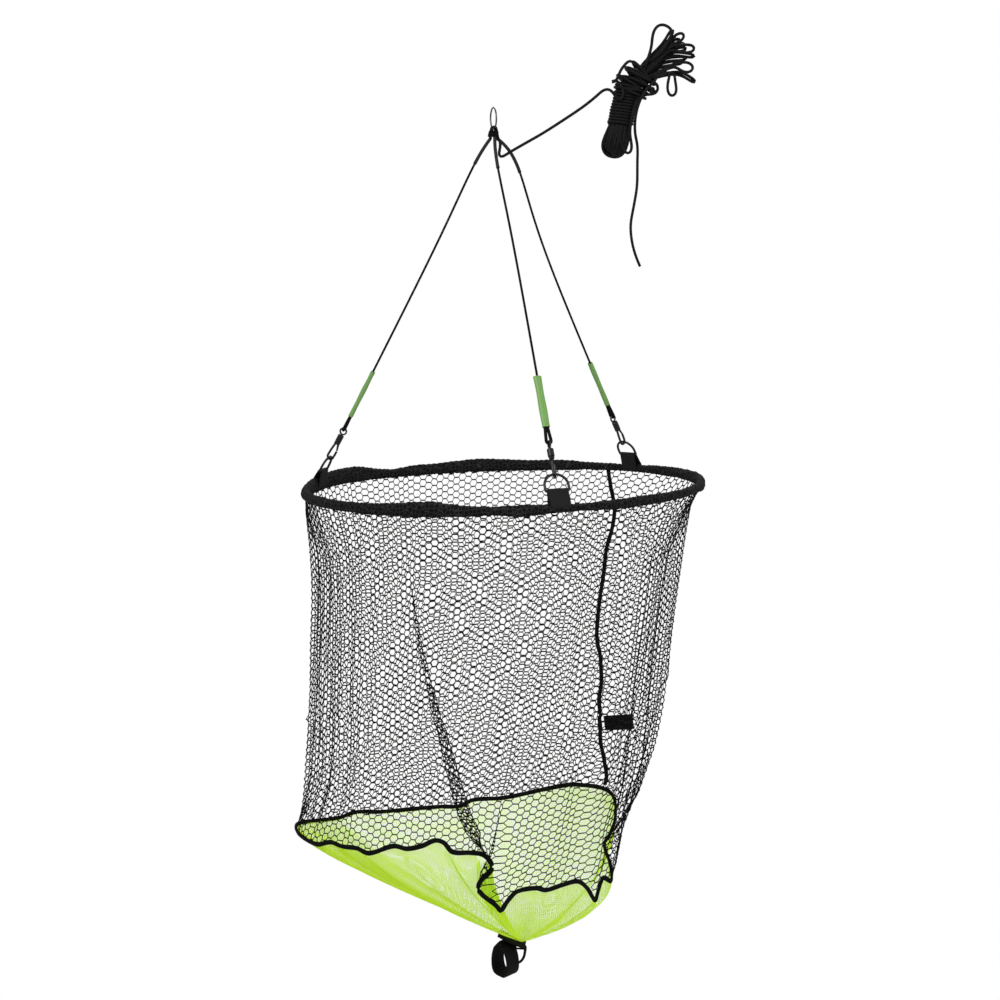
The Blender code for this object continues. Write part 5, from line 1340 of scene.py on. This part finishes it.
@dataclass
class Hardware:
    """Clips and D-rings: the CAD's own solids with a finer finish, and smoother rings."""

    def build(self) -> None:
        """Finish the metal pieces."""
        metal = CLIP_METAL.make()
        for leg in Leg:
            for node in ("clip_body_", "clip_gate_", "swivel_eye_", "gate_pin_"):
                self.refinish(node + leg.label, metal, "clip_metal")
            self.build_d_ring(leg, metal)

    @staticmethod
    def refinish(node: str, finish: bpy.types.Material, slot: str) -> None:
        """Give a CAD node a better finish."""
        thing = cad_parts[node]
        thing.data.materials.clear()
        thing.data.materials.append(finish)

    def build_d_ring(self, leg: Leg, finish: bpy.types.Material) -> None:
        """Build a smooth D-ring of bent wire."""
        corner = 0.0025
        side = D_HALF_WIDTH - corner
        straight = D_HEIGHT - D_HALF_WIDTH
        knots = []
        for centre, rise, radius, first, sweep, steps in (
                (side, corner, corner, HALF_TURN * 1.5, QUARTER_TURN, 6),
                (0.0, straight, D_HALF_WIDTH, 0.0, HALF_TURN, 32),
                (-side, corner, corner, HALF_TURN, QUARTER_TURN, 6)):
            for k in range(steps + 1):
                angle = first + sweep * k / steps
                x, z = centre + radius * math.cos(angle), rise + radius * math.sin(angle)
                knots.append(Vector((x, 0.0, z)))
        placed = leg.frame()
        path = [placed @ k for k in knots]
        ring = Maker.tube("wire_d_" + leg.label, path, D_WIRE_RADIUS * 1.15, 14, closed=True)
        Maker.dress(ring, finish, "clip_metal", "d_ring_" + leg.label, "d_ring_" + leg.label)


@dataclass
class Webbing:
    """The webbing tabs on the hoop, the pull tab, and the patch and strap under the tip."""

    finish: bpy.types.Material
    cord_finish: bpy.types.Material
    tab_size: tuple[float, float] = (0.0290, 0.0016)
    pull_tab_size: tuple[float, float] = (0.0235, 0.0014)
    patch_size: tuple[float, float] = (0.0300, 0.0030)
    strap_size: tuple[float, float] = (0.0280, 0.0026)
    strap_ends: float = 0.50
    strap_drop: float = 1.09
    tab_tuck: float = 0.0030
    ring_cord: float = 0.0021
    cross_cord: float = 0.0015
    ring_y: float = -0.0230

    def build(self) -> None:
        """Build every piece of webbing, each strip with its own width and thickness."""
        grey = TAB_WEBBING.make()
        for leg in Leg:
            self.build_tab(leg, grey)
        self.build_pull_tab()
        self.build_patch()
        self.build_strap()
        self.build_cord_ring()

    def build_pull_tab(self) -> None:
        """Build the folded pull tab on the side seam over its CAD solid's place."""
        middle = Vector((0.1730, 0.1150, -0.9515))
        along = Vector((0.80, -0.60, 0.0))
        off = Vector((0.60, 0.80, 0.0))
        half = 0.0265
        line = []
        for k in range(25):
            share = k / 24.0
            place = half * (1.0 - 4.0 * share) if share <= 0.5 else half * (4.0 * share - 3.0)
            line.append(middle + along * place + Vector((0.0, 0.0, 0.0045)) * (place / half)
                        + off * (0.0017 * math.cos(HALF_TURN * share)))
        across = (Vector((0.0, 0.0, 1.0)) - along * 0.13).normalized()
        tab = self.strip("folded_pull_tab", line, across, *self.pull_tab_size)
        Maker.dress(tab, self.finish, "webbing", "net", "side_tab")

    def build_patch(self) -> None:
        """Build the slanting webbing patch under the bag's tip."""
        start, end = Vector((-0.0245, -0.020, -1.2435)), Vector((0.0160, -0.020, -1.2640))
        line = [start.lerp(end, k / 14.0) + Vector((0.0, 0.0, -0.0012 * math.sin(HALF_TURN * k / 14.0)))
                for k in range(15)]
        patch = self.strip("tip_patch", line, Vector((0.10, 0.99, 0.0)), *self.patch_size)
        Maker.dress(patch, self.finish, "webbing", "net", "strap_anchor")

    def build_strap(self) -> None:
        """Build the carry strap's loop of webbing."""
        spots = [(0.000, 0.000), (-0.0070, 0.0100), (-0.0110, 0.0240), (-0.0105, 0.0380), (-0.0060, 0.0450),
                 (0.0040, 0.0475), (0.0130, 0.0475), (0.0185, 0.0390), (0.0180, 0.0230), (0.0120, 0.0090),
                 (0.0012, 0.0010)]
        across = Vector((0.76, -0.65, 0.0))
        width = Vector((0.65, 0.76, 0.0))
        top = Vector((-0.0185, -0.0190, -1.2556))
        knots = [top + across * a - Vector((0.0, 0.0, self.strap_drop * b)) for a, b in spots]
        line = Spline.evenly(Spline.through(knots, 8), 0.0015)
        strap = self.strip("carry_loop", line, width, *self.strap_size, ends=self.strap_ends)
        Maker.dress(strap, self.finish, "webbing", "strap", "carry_strap")

    def build_cord_ring(self) -> None:
        """Build the thin cord ring beside the strap and its short cross piece."""
        spots = [(0.0020, -1.2605), (0.0150, -1.2640), (0.0150, -1.2740), (0.0125, -1.2830), (0.0075, -1.2890),
                 (0.0015, -1.2905), (-0.0010, -1.2850), (-0.0010, -1.2720)]
        knots = [Vector((x, self.ring_y, z)) for x, z in spots + spots[:1]]
        path = Spline.evenly(Spline.through(knots, 8), 0.0012)[:-1]
        ring = Maker.tube("thin_cord_ring", path, self.ring_cord, closed=True)
        Maker.dress(ring, self.cord_finish, "black_cord", "cord_ring", "cord_ring")
        ends = [Vector((-0.0010, self.ring_y, -1.2675)), Vector((0.0150, self.ring_y, -1.2690))]
        bar = Maker.tube("cord_cross_piece", Spline.evenly(ends, 0.002), self.cross_cord)
        Maker.dress(bar, self.cord_finish, "black_cord", "cord_ring", "cord_ring")

    @staticmethod
    def strip(name: str, line: list[Vector], across: Vector, width: float, wall: float,
              ends: float = 1.0) -> bpy.types.Object:
        """Return a strip of webbing along a line.

        Args:
            name: The piece's name.
            line: The strip's middle line.
            across: The direction of its width.
            width: Its width.
            wall: Its thickness.
            ends: The share of its width that both ends are gathered to.

        Returns:
            The strip.
        """
        columns = 9
        rows = np.zeros((len(line), columns, 3))
        for i, spot in enumerate(line):
            for k in range(columns):
                share = min(1.0, ends + (1.0 - ends) * min(i, len(line) - 1 - i) / 7.0)
                rows[i, k] = spot + across * width * share * (k / (columns - 1.0) - 0.5)
        strip = Maker.grid(name, rows, size=(width, Spline.length(line)))
        skin = strip.modifiers.new("wall", "SOLIDIFY")
        skin.thickness = wall
        skin.offset = 0.0
        Maker.round_edges(strip, wall * 0.3)
        Maker.settle(strip)
        bpy.ops.object.shade_smooth_by_angle(angle=math.radians(40.0))
        return strip

    def build_tab(self, leg: Leg, finish: bpy.types.Material) -> None:
        """Build the tab that lies over the hem and holds a D-ring."""
        wrap = math.radians(38.0)
        low = HEM_RADIUS + 0.0012
        high = D_WIRE_RADIUS + GAP + 0.0008
        bar = Vector((-0.0100, 0.0228))
        up = bar.normalized()
        right = Vector((up.y, -up.x))
        touch = QUARTER_TURN - math.asin((low - high) / bar.length)
        zero = Vector((0.0, 0.0))
        turns = [(zero, touch + wrap * (1.0 - k / 9.0), low - self.tab_tuck * (1.0 - k / 9.0))
                 for k in range(10)]
        turns += [(bar, touch * (1.0 - k / 6.0), high) for k in range(13)]
        turns += [(zero, -touch - wrap * k / 9.0, low - self.tab_tuck * k / 9.0) for k in range(10)]
        flat = [centre + (up * math.cos(angle) + right * math.sin(angle)) * reach
                for centre, angle, reach in turns]
        radial = leg.radial()
        line = [radial * (HOOP_RADIUS + p.x) + Vector((0.0, 0.0, HOOP_HEIGHT + p.y)) for p in flat]
        line = Spline.evenly(line, 0.0012)
        tab = self.strip("webbing_tab_" + leg.label, line, leg.tangent(), *self.tab_size)
        Maker.dress(tab, finish, "webbing", "net", "d_tab_" + leg.label)


@dataclass
class Rope:
    """The rope: its lead from the lashing, the wound hank with its loose bights, and the hanging tail."""

    finish: bpy.types.Material
    radius: float = ROPE_RADIUS
    spacing: float = 0.0028

    def build(self) -> None:
        path = self.path()
        rope = Maker.tube("rope", path, self.radius, 8)
        Maker.dress(rope, self.finish, "rope", "net", "rope_lead", "rope_hank", "rope_tail")
        length = Spline.length(path)
        LOG.info("rope length %.3f m", length)

    def path(self) -> list[Vector]:
        """Return the rope's whole centreline, from the lashing to the bare end."""
        start = Vector((0.0053, -0.0014, WHIPPING_BOTTOM))
        marks = [(0.0080, -0.0032, -0.0600), (0.0056, -0.0045, -0.0690), (0.0090, -0.0050, -0.0720),
                 (0.0150, -0.0045, -0.0690), (0.0227, -0.0040, -0.0640), (0.0468, -0.0030, -0.0511),
                 (0.0677, -0.0030, -0.0401), (0.0870, -0.0040, -0.0290), (0.1256, -0.0090, -0.0055),
                 (0.1465, -0.0140, 0.0091), (0.1640, -0.0180, 0.0225)]
        lead = [start, start + Vector((0.0042, -0.0008, -0.0105))] + [Vector(mark) for mark in marks]
        hank = Hank()
        knots = lead + hank.knots() + hank.tail()
        path = Spline.evenly(Spline.through(knots, 12), self.spacing)
        for _ in range(6):
            middle = [0.25 * a + 0.5 * b + 0.25 * c for a, b, c in zip(path[3:-5], path[4:-4], path[5:-3])]
            path = path[:4] + middle + path[-4:]
        return Spline.evenly(path, self.spacing)


@dataclass
class Hank:
    """The wound rope: nested loops, close wraps round them and loose bights at the top."""

    foot: tuple = (0.1738, 0.0, -0.0730)
    lean: float = 0.250
    bend_start: float = 0.088
    bend: float = 13.0
    bulb: float = 0.0190
    waist: float = 0.0132
    wrap_radius: float = 0.0180
    wrap_turns: int = 11
    wrap_start: float = 0.0475
    wrap_pitch: float = 0.0044
    neck: tuple = (0.2240, 0.0, 0.0440)
    trunk_end: tuple = (0.2690, 0.0, 0.0870)

    def world(self, up: float, across: float, depth: float) -> Vector:
        """Return a point of the hank in the world.

        Args:
            up: Distance up the hank's axis.
            across: Distance to the right of it.
            depth: Distance in front of its middle.

        Returns:
            The point.
        """
        straight = min(up, self.bend_start)
        lean = self.lean + self.bend * (max(up, self.bend_start) - self.bend_start)
        along = straight * math.sin(self.lean) + (math.cos(self.lean) - math.cos(lean)) / self.bend
        rise = straight * math.cos(self.lean) + (math.sin(lean) - math.sin(self.lean)) / self.bend
        side = Vector((math.cos(lean), 0.0, -math.sin(lean)))
        return Vector(self.foot) + Vector((along, 0.0, rise)) + side * across + Vector((0.0, -depth, 0.0))

    def bights(self) -> list[tuple]:
        """Return the top bights from left to right: tip x, depth, height and width, in metres."""
        return [
            (0.2484, -0.010, 0.1131, 0.0300), (0.2655, -0.004, 0.1070, 0.0046), (0.2700, 0.010, 0.0985, 0.0048),
            (0.2815, -0.008, 0.0990, 0.0110), (0.2760, 0.004, 0.0940, 0.0050), (0.2840, 0.010, 0.0870, 0.0050),
            (0.2966, -0.010, 0.0775, 0.0110), (0.2860, 0.006, 0.0800, 0.0050), (0.2966, 0.000, 0.0675, 0.0048),
            (0.2860, 0.012, 0.0660, 0.0050), (0.2800, 0.004, 0.0600, 0.0050), (0.2940, -0.012, 0.0485, 0.0150),
            (0.2978, 0.002, 0.0300, 0.0044), (0.2612, -0.018, 0.0080, 0.0130),
        ]

    def big_bight(self) -> list[Vector]:
        """Return the wide bight at the upper left."""
        marks = [(0.2266, 0.0638), (0.2321, 0.0801), (0.2345, 0.0987), (0.2399, 0.1097), (0.2484, 0.1131),
                 (0.2588, 0.1082), (0.2635, 0.1008), (0.2543, 0.0857), (0.2420, 0.0700)]
        return [Vector((x, -0.012, z)) for x, z in marks]

    def leaves(self) -> dict[int, Vector]:
        """Return where the lowest bights leave the trunk, by their number."""
        return {11: Vector((0.2640, -0.012, 0.0540)), 12: Vector((0.2700, 0.000, 0.0440)),
                13: Vector((0.2598, -0.014, 0.0450))}

    def knots(self) -> list[Vector]:
        """Return the knots from the lead's end to the tail's start."""
        return self.loose_turns() + self.wraps() + self.small_bight() + self.loops()

    def loose_turns(self) -> list[Vector]:
        """Return the small bight beside the lead and the slanting loose turns above the wraps."""
        marks = [(0.1745, -0.019, 0.0180), (0.1790, -0.020, 0.0085), (0.1860, -0.021, 0.0050),
                 (0.1905, -0.021, 0.0150), (0.1860, -0.021, 0.0290), (0.1780, -0.021, 0.0345),
                 (0.1712, -0.021, 0.0330), (0.1730, -0.023, 0.0290), (0.1800, -0.023, 0.0335),
                 (0.1835, -0.022, 0.0410), (0.1860, -0.020, 0.0480), (0.1915, -0.019, 0.0545),
                 (0.1985, -0.012, 0.0615)]
        spots = [Vector(mark) for mark in marks]
        steps = 12
        turns = 10
        for k in range(1, steps * turns + 1):
            share = k / (steps * turns)
            middle = Vector((0.2235, 0.0, 0.0465)).lerp(Vector((0.1995, 0.0, 0.0170)), share)
            swing = 0.0030 * math.sin(k * 0.61) + 0.0020 * math.sin(k * 0.23 + 1.0)
            size = 0.0215 + 0.0050 * math.sin(HALF_TURN * share) + swing
            tilt = 0.75 - 0.45 * share + 0.20 * math.sin(k * 0.17)
            arm = Vector((-math.cos(tilt), 0.0, math.sin(tilt))) * size
            angle = FULL_TURN * k / steps
            spots.append(middle + arm * math.cos(angle) + Vector((0.0, 0.0190 + swing, 0.0)) * math.sin(angle))
        return spots

    def wraps(self) -> list[Vector]:
        """Return the close wraps, from the top one down."""
        spots = []
        steps = 14
        for k in range(self.wrap_turns * steps, -1, -1):
            angle = HALF_TURN - FULL_TURN * k / steps
            up = self.wrap_start + self.wrap_pitch * k / steps + 0.0012 * math.cos(angle)
            wobble = 1.0 + 0.03 * math.sin(k * 0.9) + 0.02 * math.sin(k * 0.37)
            spots.append(self.world(up, self.wrap_radius * wobble * math.cos(angle),
                                    self.wrap_radius * wobble * math.sin(angle)))
        return spots

    def small_bight(self) -> list[Vector]:
        """Return the small bight beside the bulb and the strand that climbs outside the wraps."""
        marks = [(0.1790, -0.0185, -0.0440), (0.1860, -0.0170, -0.0580), (0.1905, -0.0150, -0.0690),
                 (0.1955, -0.0140, -0.0725), (0.2000, -0.0140, -0.0690), (0.2012, -0.0140, -0.0600),
                 (0.1985, -0.0165, -0.0443), (0.1995, -0.0175, -0.0299), (0.2035, -0.0180, -0.0121),
                 (0.2100, -0.0180, 0.0058), (0.2230, -0.0170, 0.0130), (0.2330, -0.0150, 0.0125),
                 (0.2400, -0.0120, 0.0170), (0.2415, -0.0080, 0.0245), (0.2360, 0.0000, 0.0320),
                 (0.2240, 0.0040, 0.0290)]
        return [Vector(mark) for mark in marks]

    def loops(self) -> list[Vector]:
        """Return the long loops, each with a round foot and its own bight at the top."""
        spots = []
        tips = self.bights()
        neck = Vector(self.neck)
        far = Vector(self.trunk_end)
        trunk = far - neck
        count = len(tips)
        side_way = Vector((trunk.z, 0.0, -trunk.x)).normalized()
        for number, (x, y, z, width) in enumerate(tips):
            turn = HALF_TURN * (number + 0.5) / count
            radius = self.bulb - 0.0011 * (number % 3)
            across, depth = math.cos(turn), math.sin(turn)
            if number:
                spots += self.foot_turn(across, depth, radius, number)[3:]
            waist = self.waist - 0.0016 * (number % 2)
            rise = [self.world(up, waist * across, waist * depth) for up in (0.050, 0.070, 0.090, 0.104)]
            fall = [self.world(up, -waist * across, -waist * depth) for up in (0.104, 0.090, 0.070, 0.050)]
            tip = Vector((x, y, z))
            reach = max(0.12, min(0.80, (tip - neck).dot(trunk) / trunk.length_squared - 0.45))
            place = (number / (count - 1.0) * 2.0 - 1.0)
            bundle = side_way * 0.0118 * place + Vector((0.0, y * 0.70, 0.0))
            leave = self.leaves().get(number, neck + trunk * reach + bundle * 1.10)
            up_way = (tip - leave).normalized()
            out = Vector((up_way.z, 0.0, -up_way.x)).normalized()
            base = tip - up_way * width * 0.55
            left = [neck + bundle - out * 0.0018, leave - out * 0.0021, base - out * width * 0.5]
            right = [neck + bundle + out * 0.0018, leave + out * 0.0021, base + out * width * 0.5]
            if (tip - leave).length > 0.030 and width > 0.006:
                middle = leave.lerp(base, 0.5)
                left.insert(2, middle - out * (0.0025 + width * 0.22))
                right.insert(2, middle + out * (0.0025 + width * 0.22))
            spots += rise + (left + [tip] + right[::-1] if number else self.big_bight())
            if number < count - 1:
                spots += fall + self.foot_turn(across, depth, radius, number)[:3]
        return spots

    def foot_turn(self, across: float, depth: float, radius: float, number: int) -> list[Vector]:
        """Return a loop's round foot, from its falling side to its rising side.

        Args:
            across: The loop's direction to the right.
            depth: The loop's direction to the front.
            radius: Its radius.
            number: Which loop it is, for its place in the stack under the bulb.

        Returns:
            Six points.
        """
        low = 0.0006 * (number - 6)
        spots = []
        for angle in (-100.0, -65.0, -28.0, 28.0, 65.0, 100.0):
            turn = math.radians(angle)
            rise = self.bulb + low - self.bulb * math.cos(turn)
            spots.append(self.world(rise, radius * across * math.sin(turn), radius * depth * math.sin(turn)))
        return spots

    def tail(self) -> list[Vector]:
        """Return the tail's knots, from the loose turns down past the wraps to the bare end."""
        marks = [(0.2400, -0.0200, 0.0360), (0.2225, -0.0215, 0.0190), (0.2120, -0.0200, 0.0000),
                 (0.2065, -0.0185, -0.0220), (0.2062, -0.0140, -0.0420), (0.2100, -0.0060, -0.0601),
                 (0.2098, 0.0000, -0.0850), (0.2087, 0.0, -0.1177), (0.2038, 0.0, -0.1453),
                 (0.1983, 0.0, -0.1740), (0.1999, 0.0, -0.1993), (0.2048, 0.0, -0.2190), (0.2112, 0.0, -0.2357)]
        return [Vector(mark) for mark in marks]


@dataclass
class Studio:
    """The camera at the photograph's angle, the lamps, the white surround and the floor."""

    place: tuple = (0.0, -2.88135838, -0.22871068)
    pitch: float = math.radians(6.9124)
    yaw: float = math.radians(-0.1004)
    roll: float = math.radians(-1.5)
    lens: float = 69.6
    aim: tuple = (0.0, 0.0, -0.7)
    floor_radius: float = 0.95
    floor_height: float = -1.76

    def build(self) -> None:
        """Build camera, lamps, surround and floor."""
        self.build_camera()
        self.build_world()
        for lamp in (("key_lamp", (-1.6, -2.6, 1.9), 1.6, 62.0), ("fill_lamp", (2.2, -2.2, 0.4), 1.8, 26.0),
                     ("rim_lamp", (0.6, 2.4, 1.6), 1.4, 30.0)):
            self.build_lamp(*lamp)
        self.build_floor()

    def build_camera(self) -> None:
        """Build the camera."""
        ahead = Vector((math.sin(self.yaw) * math.cos(self.pitch), math.cos(self.yaw) * math.cos(self.pitch),
                        -math.sin(self.pitch)))
        level = Vector((math.cos(self.yaw), -math.sin(self.yaw), 0.0))
        rise = level.cross(ahead)
        right = level * math.cos(self.roll) + rise * math.sin(self.roll)
        up = rise * math.cos(self.roll) - level * math.sin(self.roll)
        turned = Matrix((right, up, -ahead)).transposed().to_4x4()
        turned.translation = Vector(self.place)
        data = bpy.data.cameras.new("camera")
        data.lens = self.lens
        data.sensor_width = 36.0
        camera = bpy.data.objects.new("camera", data)
        camera.matrix_world = turned
        bpy.context.scene.collection.objects.link(camera)
        bpy.context.scene.camera = camera

    def build_world(self) -> None:
        """Build a surround that is white to the camera and a soft grey light to the object."""
        world = bpy.data.worlds.new("surround")
        world.use_nodes = True
        world.node_tree.nodes.clear()
        graph = Graph(world.node_tree)
        rays = graph.add("LightPath")
        seen = graph.add("Background", {"Color": (1.0, 1.0, 1.0, 1.0), "Strength": 1.0})
        soft = graph.add("Background", {"Color": (0.96, 0.98, 1.0, 1.0), "Strength": 0.55})
        either = graph.add("Math", {0: rays.outputs["Is Camera Ray"], 1: rays.outputs["Is Transmission Ray"]},
                           operation="MAXIMUM")
        mix = graph.add("MixShader", {"Fac": either.outputs["Value"], 1: soft.outputs["Background"],
                                      2: seen.outputs["Background"]})
        graph.add("OutputWorld", {"Surface": mix.outputs["Shader"]})
        bpy.context.scene.world = world
        bpy.context.scene.view_settings.view_transform = "Standard"

    def build_lamp(self, name: str, place: tuple, size: float, power: float) -> None:
        """Build a square soft lamp that faces the middle of the object.

        Args:
            name: The lamp's name.
            place: Where it stands.
            size: The length of its sides.
            power: Its power in watts.
        """
        data = bpy.data.lights.new(name, "AREA")
        data.shape = "SQUARE"
        data.size = size
        data.energy = power
        lamp = bpy.data.objects.new(name, data)
        lamp.location = place
        lamp.rotation_euler = (Vector(self.aim) - Vector(place)).to_track_quat("-Z", "Y").to_euler()
        bpy.context.scene.collection.objects.link(lamp)

    def build_floor(self) -> None:
        """Build a pale round floor, low enough to lie under the photograph's edge."""
        bpy.ops.object.select_all(action="DESELECT")
        bpy.ops.mesh.primitive_circle_add(vertices=96, radius=self.floor_radius, fill_type="NGON",
                                        location=(0.0, 0.0, self.floor_height))
        floor = bpy.context.active_object
        floor.name = "floor"
        finish = Finish("pale_floor", (0.86, 0.86, 0.86), 0.8, specular=0.2).make()
        floor.data.materials.append(finish)


def main() -> None:
    """Build every piece in order."""
    logging.basicConfig(level=logging.INFO, format="%(name)s %(message)s")
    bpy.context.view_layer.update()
    Studio().build()
    cord = BLACK_CORD.make()
    webbing = WEBBING.make()
    Rope(ROPE.make()).build()
    Crown(cord).build()
    Legs(cord).build()
    shape = BagShape()
    BlackWall(shape).build()
    GreenBottom(shape).build()
    SeamBinding(shape).build()
    SideSeam(shape).build()
    HoopHem().build()
    Hardware().build()
    Webbing(webbing, cord).build()


if __name__ == "__main__":
    main()
